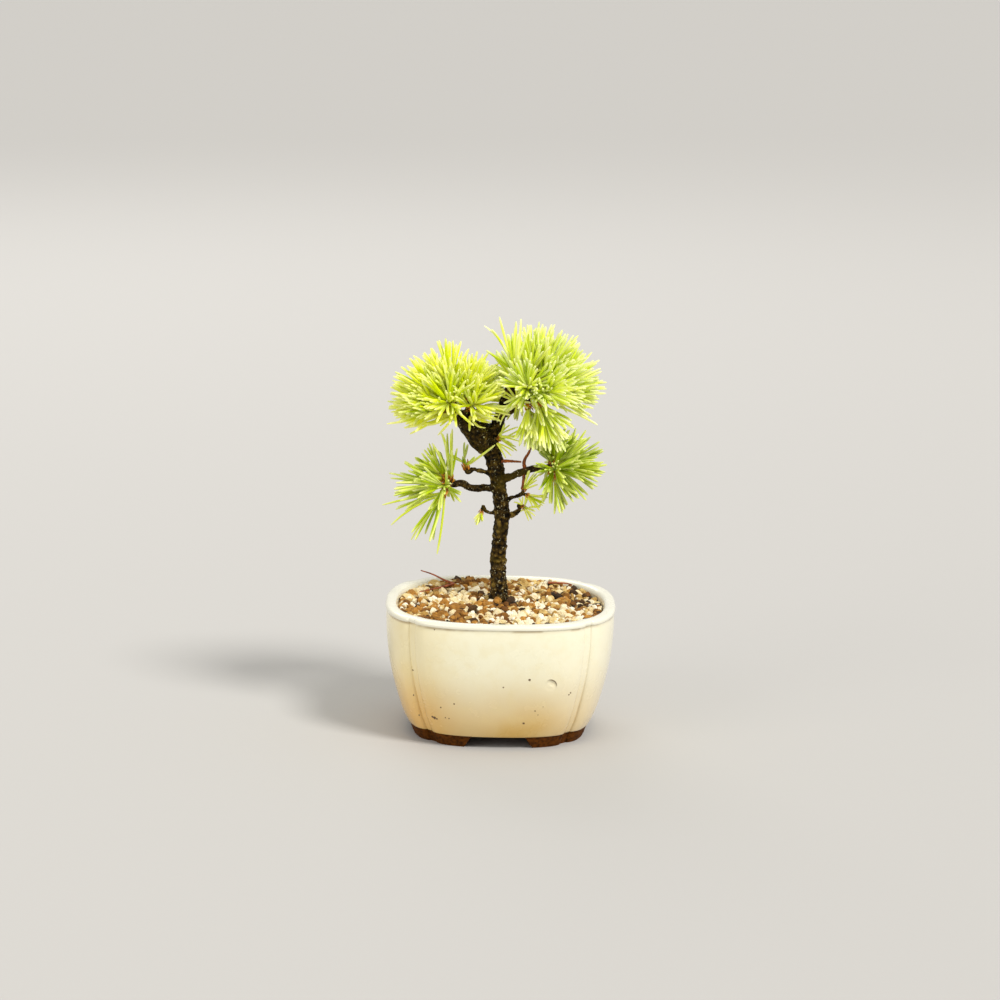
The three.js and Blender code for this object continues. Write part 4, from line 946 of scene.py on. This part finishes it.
# A few single needles stand apart from the rest. Each is given by its root and tip, and some by a middle
WISPS = {
    "upperLeft_7": [
        [(-24, -3.5, 145), (-38, -8, 142.6), (-52.1, -8, 140.2)],
        [(-20, -3, 146), (-24, -8, 141.5), (-29.2, -10, 135.9)],
        [(-25.5, -3.5, 144.5), (-33, -9, 140.8), (-41.6, -12, 136.5)],
        [(-23, -3.5, 144.5), (-34, -9, 141), (-44.4, -9, 138.9)],
        [(-23, -3.3, 144.7), (-34, -8, 143), (-43.1, -8, 143.4)],
        [(-22.5, -3.5, 144.3), (-31, -9, 141.4), (-40.2, -10, 140.6)],
        [(-21.5, -3, 144.3), (-28.4, -9, 139.9)],
        [(-22, -3.4, 144.1), (-28, -9, 141.8), (-34.4, -10, 140.2)],
    ],
    "upperLeft_6": [
        [(-14.6, -1, 144), (-8.9, -4, 147), (-2.1, -4, 146.8)],
        [(-14.8, -1, 143.8), (-8.9, -4, 144.9), (-2.4, -4, 144.3)],
        [(-14.6, -1, 144.2), (-8.5, -3, 148.6), (-2.1, -4, 149.3)], [(-14.8, -1.2, 143.6), (-6, -5, 144)],
        [(-15, -1.2, 143.4), (-10.3, -5, 143)], [(-15, -1.2, 143.2), (-12, -4, 139.6), (-8.1, -5, 138.7)],
        [(-15.2, -1.2, 143.4), (-15.2, -5, 137.1)], [(-14.9, -1, 143.7), (-7.7, -5, 142)],
        [(-14.9, -1, 143.5), (-10.6, -4, 141.9), (-5.6, -4, 141)],
        [(-14.8, -1, 143.6), (-9, -4, 143.2), (-3.6, -4, 142.4)],
    ],
    "lowerLeft_3": [
        [(-23.5, -1, 114.1), (-25.5, -1.5, 128.1), (-28.2, -2, 135.8)],
        [(-23.2, -1, 114.1), (-24.9, -1.7, 127), (-27.4, -2, 135.2)],
        [(-23.3, -1, 114.3), (-23, -2, 137.5)], [(-23, -1, 114.2), (-23.7, -2, 135.3)],
    ],
    "upperRight_1": [
        [(3, -5, 166), (-1, -7, 177), (-9.3, -8, 185.1)], [(4, -5, 167), (0.4, -6, 178), (-2.7, -7, 189.1)],
        [(5.5, -5, 167), (6.4, -6, 178), (6.9, -6, 188.2)],
    ],
    "upperRight_9": [
        [(5, -6, 149.8), (-0.4, -8, 147.6), (-3, -9, 142.1)],
        [(6, -7, 149.4), (1, -9, 146.5), (-1.6, -10, 141)], [(5.8, 0, 149.6), (-2.2, -4, 153.7)],
        [(6, 0, 150), (0.9, -5, 157.9)], [(6.2, 0.2, 150.2), (4.8, -6, 158.5)],
        [(6.5, 0.2, 150.3), (9.5, -6, 155.7)], [(6.6, -0.2, 149.8), (11.8, -7, 150.7)],
        [(6.4, -0.3, 149.4), (8.6, -7, 146.1)], [(6.1, -0.3, 149.2), (4.6, -6, 143.6)],
        [(5.8, -0.2, 149.3), (-0.7, -5, 148.1)], [(6, 0, 150), (-1, -5, 155.6)],
        [(6.3, 0, 150.1), (7.2, -6.5, 157.6)], [(6.5, -0.1, 150), (11, -6.5, 153.2)],
        [(6.5, -0.2, 149.6), (10.6, -7, 148.2)],
    ],
    "lowerLeft_4": [
        [(-25.5, -1, 108), (-39, -2, 106), (-54, -2, 102.1)],
        [(-25.5, -1.2, 107.5), (-39, -3, 102), (-49.9, -3, 93.1)],
        [(-25.7, -1, 107), (-34, -3, 97.5), (-40.8, -3, 86.4)],
        [(-26, -1, 106.5), (-27, -3, 94), (-29, -3, 80.1)],
    ],
    "lowerLeft_7": [[(-16.6, 1.5, 119.8), (-11, -0.5, 124.3), (-3.7, -3, 130.6)]],
    "upperRight_6": [
        [(18, -4, 151.5), (30, -6, 149.3), (39.3, -8, 145)],
        [(18.5, -4, 150.5), (31, -6, 146.6), (41.9, -8, 141.4)],
    ],
    "shoots_1": [
        [(-2.3, -1, 134.6), (2.8, -3, 139.9)], [(-2.2, -1, 134.8), (6.4, -3, 139)],
        [(-2, -1, 134.4), (6.8, -4, 134.1)], [(-2, -1, 134.1), (7.4, -4, 132.5)],
        [(-2.8, -1.5, 131.3), (4.8, -4, 128.1)], [(-2.9, -1.5, 131.2), (3.7, -4, 125.9)],
        [(-3.1, -1.5, 131.1), (1.3, -4, 124.8)], [(-3, -1.5, 131.2), (0.2, -4, 126.9)],
    ],
    "shoots_2": [
        [(9.3, 2.3, 109.9), (12.3, 2, 117.8)], [(9.5, 2.3, 109.8), (14.4, 1.5, 117.4)],
        [(9.7, 2.3, 109.7), (15.5, 1.5, 114.1)],
    ],
    "shoots_3": [
        [(11.2, 2.5, 106.9), (17.6, 1.5, 106.5)], [(11.2, 2.5, 106.8), (18.4, 1.5, 102.3)],
        [(11.2, 2.5, 106.6), (16.9, 1.5, 100.1)], [(11, 2.5, 106.6), (13.7, 1.5, 102)],
    ],
    "shoots_4": [
        [(8.9, 2.8, 102.2), (5.2, 2, 103.7)], [(9, 2.8, 102.2), (7.5, 2, 105.6)],
        [(9.1, 2.8, 102.2), (9.2, 2, 106.2)], [(10, 2.8, 100.3), (15, 2, 97.4)],
        [(10, 2.8, 100.2), (12.1, 2, 95.2)], [(9.9, 2.8, 100), (8.3, 2, 99.3)],
    ],
    "shoots_5": [
        [(-9.4, 3.5, 98.6), (-12.8, 3, 95.1)], [(-9.4, 3.5, 98.5), (-12.3, 3, 93.7)],
        [(-9.3, 3.5, 98.5), (-10.9, 3, 93.8)], [(-9.2, 3.5, 98.5), (-9, 3, 95.2)],
    ],
}


class Spray:
    """One shoot with its needles: lengths in mm, and the opening in degrees."""

    def __init__(self, head, number, limb, core, lowest, base, way, count, reach, opening, other_limb=None):
        self.label = f"{head}_{number}"
        self.head = head
        self.limb = other_limb or limb
        self.core = core                # the length of the shoot that carries needles
        self.lowest = lowest            # how far a needle may point down, from 0 to -1
        self.base = Vector(base)
        self.axis = Vector(way).normalized()
        self.count = count
        self.reach = reach
        self.opening = math.radians(opening)


SPRAYS = [
    Spray(head, number, limb, core, lowest, *row)
    for head, (limb, core, lowest, rows) in HEADS.items() for number, row in enumerate(rows, 1)
]
print("sprays:", len(SPRAYS))


# %% Draw the limbs as curves
def limb_curve(name, points, radii):
    """A smooth curve through the points, round in section, with its own radius at each point."""
    start_clean()
    bpy.ops.curve.primitive_bezier_curve_add()
    obj = bpy.context.object
    obj.name = name
    curve = obj.data
    spline = curve.splines[0]
    spline.bezier_points.add(len(points) - 2)
    for knot, place, radius in zip(spline.bezier_points, points, radii):
        knot.co = Vector(place) * MM
        knot.radius = radius
        knot.handle_left_type = knot.handle_right_type = "AUTO"
    curve.bevel_depth = MM
    curve.bevel_resolution = 5
    curve.resolution_u = 10
    curve.use_fill_caps = True
    take(obj)
    bpy.ops.object.convert(target="MESH")
    return bpy.context.object


def anchor_on(limb, base):
    """The place on the limb's outer part that is nearest to the base of a spray."""
    points = [Vector(point) for point in LIMBS[limb][0]]
    stretch = []
    for a, b in zip(points, points[1:]):
        stretch += [a.lerp(b, step / 6) for step in range(6)]
    stretch.append(points[-1])
    outer = stretch[int(len(stretch) * 0.5):]
    return min(outer, key=lambda place: (place - base).length)


def twig_curve(spray):
    """A short twig from the limb to the foot of a spray. It swells a little just under the needles."""
    start = anchor_on(spray.limb, spray.base)
    end = spray.base - spray.axis * 0.3
    places = [start, end - spray.axis * 2.4, end - spray.axis, end]
    thick = 1.0 if spray.core > 4 else 0.72
    return limb_curve("twig", places, [radius * thick for radius in (1.15, 0.95, 1.25, 1.0)])


STUB_PLACE = (-0.9, 7)
STUB_HEIGHTS = (44, 59)
STUB_RADII = (2.8, 4.6)


def root_stub():
    """A plain cone that fills the hole in the soil, up to the foot of the trunk."""
    start_clean()
    low, high = STUB_HEIGHTS
    bpy.ops.mesh.primitive_cone_add(
        vertices=24, radius1=STUB_RADII[0] * MM, radius2=STUB_RADII[1] * MM, depth=(high - low) * MM,
        location=(STUB_PLACE[0] * MM, STUB_PLACE[1] * MM, (low + high) / 2 * MM))
    return bpy.context.object


wood_pieces = [limb_curve(name, *limb) for name, limb in LIMBS.items()]
wood_pieces += [twig_curve(spray) for spray in SPRAYS]
wood_pieces.append(root_stub())
print("wood pieces to melt:", len(wood_pieces))

# %% [markdown]
# Bark is what makes the trunk read as pine: small plates, shallow cracks round the stem, and knuckles where
# needles once sat. They are pushed out of the melted skin along its normals, coarse forms first, then fine.

# %% Melt the limbs together and raise the bark
WOOD_CELL = 0.34            # the size of the faces on the wood
COARSE_HALF, COARSE_TOP = 10, 144   # bark is coarse this near to the trunk's line, and up to here


def melt(pieces, name, cell):
    """Join the pieces and remesh them as one skin, in cells of the size given in mm."""
    whole = join_all(pieces, name)
    apply_modifier(whole, "REMESH", mode="VOXEL", voxel_size=cell * MM)
    return whole


def push_out(obj, pushes):
    """Move every point out along its normal, by its own push in mm, and shade the skin smooth."""
    normals = [vertex.normal.copy() for vertex in obj.data.vertices]
    for vertex, normal, push in zip(obj.data.vertices, normals, pushes):
        vertex.co += normal * push * MM
    take(obj)
    bpy.ops.object.shade_smooth()


def bark_push(place):
    """How far out, in mm, the bark stands at a place: plates with cracks between, rings, lumps and scars."""
    point = place / MM
    thick = 1.0 if abs(point.x + 2) < COARSE_HALF and point.z < COARSE_TOP else 0.45
    plates = noise.voronoi(Vector((point.x * 0.5, point.y * 0.5, point.z * 0.42)))[0]
    cracks = min(0.5, plates[1] - plates[0])
    rings = math.sin(point.z * 2.1 + 5 * noise.noise(point * 0.2))
    lumps = noise.noise(point * 0.45 + Vector((3, 1, 7)))
    fine = noise.noise(point * 1.7)
    squat = Vector((point.x, point.y, point.z * 0.7))
    scars = max(0.0, noise.noise(squat * 0.33 + Vector((9, 2, 4))) - 0.22)
    return thick * (0.5 * cracks + 0.13 * rings + 0.34 * lumps + 0.2 * fine + scars - 0.2)


wood = melt(wood_pieces, "wood", WOOD_CELL)
bark_pushes = [bark_push(vertex.co) for vertex in wood.data.vertices]
push_out(wood, bark_pushes)
# the raised height gives painted shade in the cracks and lighter ridges, partly wear and partly painted
# highlight
raised = wood.data.attributes.new("raised", "FLOAT", "POINT")     # it colours the ridges and the cracks
raised.data.foreach_set("value", bark_pushes)
print("wood faces:", len(wood.data.polygons))


# %% The bark's finish
def bark_finish():
    bark = Finish("bark", roughness=0.8)
    raised = bark.attribute("raised")
    # painted shade in the cracks and lighter ridges, partly wear and partly painted highlight, with real
    # mottling
    mottle_and_relief_light = bark.math("ADD", raised, bark.between(bark.noise(600, 5, 0.7), 0.25, 0.75, -0.38, 0.38))
    dark = bark.mix(bark.between(mottle_and_relief_light, -0.35, 0.1), (12, 6, 0), (58, 42, 8))
    base = bark.mix(bark.between(mottle_and_relief_light, 0.05, 0.55), dark, (128, 104, 44))
    moss = bark.between(bark.noise(75, 4), 0.5, 0.66, 0.0, 0.5)
    mossy = bark.mix(moss, base, (84, 70, 6))
    flecks = bark.between(bark.noise(1100, 3), 0.6, 0.68)
    lichen = bark.math("MULTIPLY", flecks, bark.between(bark.noise(130, 3), 0.44, 0.6, 0.0, 0.85))
    bark.colour(bark.mix(lichen, mossy, (206, 200, 160)))
    bark.shader.inputs["Specular IOR Level"].default_value = 0.12
    bark.rough(bark.between(bark.noise(200, 3), 0.3, 0.7, 0.5, 0.9))
    bark.bump(bark.noise(1100, 5, 0.65), 0.8, 0.0005)
    return bark.material


settle(wood, "bark", bark_finish(), "tree")
DRY_CELL = 0.2
DRY_ROUGH = 0.14
dry_twigs = melt([limb_curve(name, *limb) for name, limb in DRY_TWIGS.items()], "dry_twigs", DRY_CELL)
push_out(dry_twigs, [DRY_ROUGH * noise.noise(vertex.co / MM * 1.3) for vertex in dry_twigs.data.vertices])
dry = Finish("dry_twig", roughness=0.7)
dry.colour(dry.cloud(500, 4, (70, 32, 2), (166, 84, 16)))
dry.bump(dry.noise(1500, 4), 0.5, 0.0002)
settle(dry_twigs, "bark", dry.material)
print("dry twigs faces:", len(dry_twigs.data.polygons))

# %% [markdown]
# ## The needles
# White pine needles grow in bundles of five, stiff and a little curved, with pale lines on the inner sides
# and a blunt tip. One needle is modelled with care, as a thin five-cornered bar drawn out in six steps.
# Every other needle is a copy of it: bent, stretched and turned, and given its own tone.

# %% Model one needle
NEEDLE_SIDES = 5
# How far along it is, and half its width there
NEEDLE_STEPS = [(0.0, 0.6), (0.07, 0.85), (0.3, 1.0), (0.55, 1.0), (0.78, 0.95), (0.94, 0.78), (1.0, 0.4)]


def model_needle():
    """A bar of unit length and unit half width along Z."""
    start_clean()
    bpy.ops.mesh.primitive_circle_add(vertices=NEEDLE_SIDES, radius=NEEDLE_STEPS[0][1], fill_type="NGON")
    bar = bpy.context.object
    draw_up(bar, NEEDLE_STEPS, 1)
    return take_shape(bar)


NEEDLE_POINTS, NEEDLE_FACES = model_needle()
NEEDLE_ALONG = NEEDLE_POINTS[:, 2]
NEEDLE_STRIPE = (np.cos(np.arctan2(NEEDLE_POINTS[:, 1], NEEDLE_POINTS[:, 0])) > 0.3).astype(float)
print("one needle:", len(NEEDLE_POINTS), "points,", len(NEEDLE_FACES), "faces")


# %% Bend copies of it into a spray
class Needles(Bunch):
    """A bunch of needles. Each point keeps its tone, how far along it is, and its share of pale stripe."""

    def add_needle(self, root, way, length, half_width, curl, tone, turn):
        """curl is how far, in mm, the tip is bent off the straight line, as a vector across the needle."""
        side = way.orthogonal().normalized()
        side.rotate(Quaternion(way, turn))
        other = way.cross(side)
        along = NEEDLE_ALONG[:, None]
        line = np.array(root) + np.array(way) * along * length + np.array(curl) * along ** 2
        across = NEEDLE_POINTS[:, :1] * np.array(side) + NEEDLE_POINTS[:, 1:2] * np.array(other)
        points = (line + across * half_width) * MM
        self.add(points, NEEDLE_FACES, tone=tone, along=NEEDLE_ALONG, stripe=NEEDLE_STRIPE)


def cone_way(axis, lean, turn):
    """A way that leans off the axis, turned round it."""
    side = axis.orthogonal().normalized()
    side.rotate(Quaternion(axis, turn))
    return (axis * math.cos(lean) + side * math.sin(lean)).normalized()


# By head: bundles for each needle that a spray counts, needles in a bundle, and how wide a needle is
FULLNESS = {"upperLeft": 0.6, "upperRight": 0.58, "lowerLeft": 0.42, "lowerRight": 0.54, "shoots": 0.3}
BUNDLE = {"upperLeft": 5, "upperRight": 5, "lowerLeft": 4, "lowerRight": 5, "shoots": 2}
SLIMNESS = {"upperLeft": 1.0, "upperRight": 1.0, "lowerLeft": 0.95, "lowerRight": 0.95, "shoots": 0.66}
THIN_SPRAY = 10             # a spray that counts fewer needles than this has them in twos
STEM_HALF = 0.9             # half the width of the shoot that the needles stand on
STEM_TONE = 0.1
GOLDEN_ANGLE = math.pi * (3 - math.sqrt(5))
SIDE_LIMIT = 54.0           # no needle reaches further to the side than this
LENGTHS = (0.82, 1.05)      # shares of a spray's reach
HALF_WIDTHS = (0.56, 0.72)
WISP_HALF, WISP_TONE = 0.58, 0.85


def add_bundle(bunch, spray, draw, root, heart):
    """Needles that share a root, each a little off the bundle's own way."""
    tone = draw.random()
    for _ in range(2 if spray.count < THIN_SPRAY else BUNDLE[spray.head]):
        way = heart + Vector([draw.gauss(0, 0.12) for _ in range(3)])
        if way.z < spray.lowest:
            way.z = spray.lowest + 0.25 * (way.z - spray.lowest)
        way.normalize()
        length = spray.reach * draw.uniform(*LENGTHS)
        curl = (Vector([draw.gauss(0, 1) for _ in range(3)]) * 1.3 + Vector((0, 0, -0.3))) * length / 20
        curl -= way * curl.dot(way)
        tip = root + way * length + curl
        if abs(tip.x) > SIDE_LIMIT:
            length *= (SIDE_LIMIT - abs(root.x)) / (abs(tip.x) - abs(root.x))
        half_width = draw.uniform(*HALF_WIDTHS) * SLIMNESS[spray.head]
        own_tone = 0.5 * tone + 0.5 * draw.random()
        bunch.add_needle(root, way, length, half_width, curl, own_tone, draw.uniform(0, 6.28))


def add_wisp(bunch, spray, draw, start, end, middle=None):
    """A single needle, bent so that it passes through its middle."""
    if middle is None:
        middle = (start + end) / 2 + Vector((0, 0, 0.25))
    first = 4 * middle - 3 * start - end
    bend = 2 * (start - 2 * middle + end)
    half_width = WISP_HALF * SLIMNESS[spray.head]
    bunch.add_needle(
        start, first.normalized(), first.length, half_width, bend, WISP_TONE, draw.uniform(0, 6.28))


def grow_spray(spray, seed):
    """A slim shoot, and bundles of needles up it: nearly straight on at its tip, wide open at its foot."""
    draw = random.Random(seed)
    bunch = Needles()
    stem = STEM_HALF * SLIMNESS[spray.head]
    bunch.add_needle(spray.base, spray.axis, spray.core, stem, (0, 0, 0), STEM_TONE, 0.0)
    bundles = max(3, round(spray.count * FULLNESS[spray.head]))
    for k in range(bundles):
        share = (k + 0.5) / bundles
        turn = k * GOLDEN_ANGLE + draw.uniform(-0.3, 0.3)
        lean = spray.opening * 1.08 * math.sqrt(share) + draw.uniform(-0.08, 0.08)
        out = cone_way(spray.axis, math.pi / 2, turn)
        root = spray.base + spray.axis * spray.core * (0.05 + 0.9 * (1 - share)) + out * 0.7
        add_bundle(bunch, spray, draw, root, cone_way(spray.axis, lean, turn))
    for start, *middle, end in WISPS.get(spray.label, []):
        add_wisp(bunch, spray, draw, Vector(start), Vector(end), *[Vector(place) for place in middle])
    return bunch


# %% The needles' finishes
def needle_finish(name, shade, middle, light, pale):
    needle = Finish(name, roughness=0.42)
    tone, along, stripe = (needle.attribute(key) for key in ("tone", "along", "stripe"))
    low = needle.mix(needle.between(tone, 0.05, 0.55), shade, middle)
    body = needle.mix(needle.between(tone, 0.5, 1.0), low, light)
    # painted highlight towards each needle's tip
    tip_highlighted = needle.mix(needle.between(along, 0.75, 1.0, 0.0, 0.55), body, pale)
    lined = needle.mix(needle.math("MULTIPLY", stripe, 0.45), tip_highlighted, pale)
    root = needle.between(along, 0.0, 0.14, 0.75, 0.0)
    needle.colour(needle.mix(root, lined, (176, 138, 52)))
    needle.shader.inputs["Specular IOR Level"].default_value = 0.28
    return needle.material


# pale is the colour of the stripes and of the painted highlight at the tips
NEEDLE_LOOKS = {   # the slot, the finish's name, and its colours: shade, middle, light and pale
    "upperLeft": ("needles_yellow_green", "needles_left",
                  (186, 206, 4), (238, 248, 22), (253, 255, 76), (255, 255, 186)),
    "upperRight": ("needles_pale_green", "needles_right",
                   (176, 202, 14), (232, 246, 60), (250, 254, 124), (255, 255, 208)),
    "lowerLeft": ("needles_green", "needles_low_left",
                  (128, 156, 2), (190, 212, 18), (226, 238, 64), (248, 250, 168)),
    "lowerRight": ("needles_green", "needles_low_right",
                   (116, 146, 2), (180, 202, 16), (218, 232, 58), (244, 248, 156)),
    "shoots": ("needles_yellow_green", "needles_shoots",
               (176, 196, 6), (222, 236, 34), (244, 250, 84), (255, 255, 180)),
}
FIRST_SEED = 100            # of the draw for the first spray
needle_materials = {head: needle_finish(*look) for head, (_, *look) in NEEDLE_LOOKS.items()}
needle_total = 0
for number, spray in enumerate(SPRAYS):
    bunch = grow_spray(spray, FIRST_SEED + number)
    piece = bunch.finish(f"spray_{spray.label}")
    slot = NEEDLE_LOOKS[spray.head][0]
    settle(piece, slot, needle_materials[spray.head], f"needles_{spray.label}")
    needle_total += bunch.total // len(NEEDLE_POINTS)
print("needles:", needle_total)

# %% [markdown]
# ## Bud scales
# Papery orange-brown scales wrap the foot of every shoot. One small pointed scale is modelled, and copies of
# it overlap in rows round each twig's end.

# %% Model one scale and wrap the shoots
SCALE_THICKNESS = 0.12      # for a scale one unit wide
MANY_SCALES, FEW_SCALES = 14, 8
SMALL = 0.7                 # the size of scales on a small shoot


def model_scale():
    """A pointed, hollow little leaf, 2 long and 1 wide, with a thickness."""
    start_clean()
    bpy.ops.mesh.primitive_grid_add(x_subdivisions=4, y_subdivisions=5, size=1)
    leaf = bpy.context.object
    for vertex in leaf.data.vertices:
        along = vertex.co.y + 0.5
        width = math.sin(math.pi * min(1, 0.25 + 0.75 * along)) ** 0.8
        across = vertex.co.x * 2 * width
        vertex.co = Vector((across * 0.5, along * 2, 0.28 * across ** 2 - 0.35 * along ** 2))
    apply_modifier(leaf, "SOLIDIFY", thickness=SCALE_THICKNESS, offset=0)
    return take_shape(leaf)


SCALE_POINTS, SCALE_FACES = model_scale()


def wrap_shoot(bunch, spray, draw):
    """Scales round the foot of a spray, each a step further up and round."""
    size = SMALL if spray.head == "shoots" else 1.0
    for k in range(FEW_SCALES if spray.head == "shoots" else MANY_SCALES):
        turn = k * GOLDEN_ANGLE
        out = cone_way(spray.axis, math.pi / 2, turn)
        up = cone_way(spray.axis, draw.uniform(0.25, 0.75), turn)
        side = up.cross(out).normalized()
        face_out = side.cross(up).normalized()
        root = spray.base + spray.axis * (-1.6 + 0.22 * k) * size + out * 0.95 * size
        local = SCALE_POINTS * (draw.uniform(0.9, 1.3) * size)
        placed = np.array(root) + local @ np.array([side, up, face_out])
        bunch.add(placed * MM, SCALE_FACES, tone=draw.random(), along=SCALE_POINTS[:, 1] / 2)


scales = Bunch()
scale_draw = random.Random(77)
for spray in SPRAYS:
    wrap_shoot(scales, spray, scale_draw)
bud_scales = scales.finish("bud_scales")
papery = Finish("papery_scale", roughness=0.6)
brown = papery.mix(papery.attribute("tone"), (132, 70, 2), (222, 146, 22))
at_tip = papery.between(papery.attribute("along"), 0.5, 1.0, 0.0, 0.5)
papery.colour(papery.mix(at_tip, brown, (242, 192, 84)))
papery.bump(papery.noise(1800, 3), 0.3, 0.0001)
settle(bud_scales, "dry_needles", papery.material)
print("bud scales:", len(bud_scales.data.polygons), "faces")

# %% [markdown]
# ## Fallen needles
# A few dry needles lie on the grains. One pair still holds together at its sheath, and its upper needle
# leans on the back of the lip.

# %% Lay the fallen needles
FALLEN = {
    "fallen_needles_1": [[(-21.5, 30.5, 58.6), (-26.5, 32.5, 60.0), (-31.7, 35, 61.9), (-37.2, 37, 63.2)],
                         [(-21.5, 30.5, 58.6), (-26, 25, 58.5), (-31, 19.5, 58.4), (-37, 13, 58.5)]],
    "fallen_needles_2": [[(22, 36.5, 58.6), (26, 36.8, 58.4), (30, 36, 58.5), (33, 34, 58.3)]],
}
LIFT = 0.4                  # the needles' middle line over the grains they lie on
fallen_finish = Finish("dry_needle", roughness=0.55)
fallen_finish.colour(fallen_finish.cloud(300, 3, (112, 44, 10), (178, 92, 40), 0.35, 0.7))
for name, strands in FALLEN.items():
    pieces = []
    for points in strands:
        radii = [0.55 - 0.3 * i / (len(points) - 1) for i in range(len(points))]
        pieces.append(limb_curve(name, [(x, y, z + LIFT) for x, y, z in points], radii))
    laid = join_all(pieces, f"dry_{name}")
    close_up(laid, DOUBLE * MM)
    soften(laid, 40)
    settle(laid, "dry_needles", fallen_finish.material, name)
print("fallen needles laid")

# %% [markdown]
# ## Floor and light
# The floor is plain and pale. The main light is like a hazy sun, high on the right of the front. A weak one
# on the left fills the shadows, and a third from behind lights the edges of the needles.

# %% Floor and lights
start_clean()
bpy.ops.mesh.primitive_plane_add(size=40, location=(0, 0, 0))
floor = bpy.context.object
floor.name = "floor"
pale = Finish("pale_floor", roughness=0.9)
pale.colour(colour((186, 184, 181)))
floor.data.materials.append(pale.material)
LIGHT_AIM = Vector((0, 0, 0.1))
SUN_TURN = (math.radians(44), 0, math.radians(46))


def add_light(kind, name, watts, tint, **place):
    start_clean()
    bpy.ops.object.light_add(type=kind, **place)
    light = bpy.context.object
    light.name = name
    light.data.energy = watts
    light.data.color = tint
    return light


def soft_light(name, place, size, watts, tint):
    """A square light that looks at the tree."""
    light = add_light("AREA", name, watts, tint, location=place)
    light.data.size = size
    towards = LIGHT_AIM - Vector(place)
    light.rotation_euler = towards.to_track_quat("-Z", "Y").to_euler()


key = add_light("SUN", "key", 2.5, (1.0, 0.98, 0.94), rotation=SUN_TURN)
key.data.angle = math.radians(16)
soft_light("fill", (-1.6, -1.4, 0.9), 1.2, 10, (1.0, 0.96, 0.88))
soft_light("back", (-0.5, 1.7, 1.5), 1.2, 9, (1.0, 1.0, 1.0))
world = bpy.context.scene.world or bpy.data.worlds.new("studio")
bpy.context.scene.world = world
world.use_nodes = True
backdrop = world.node_tree.nodes["Background"].inputs
backdrop["Color"].default_value = (1.0, 0.99, 0.96, 1.0)
backdrop["Strength"].default_value = 0.7
bpy.context.scene.view_settings.view_transform = "Standard"
print("floor and lights set")
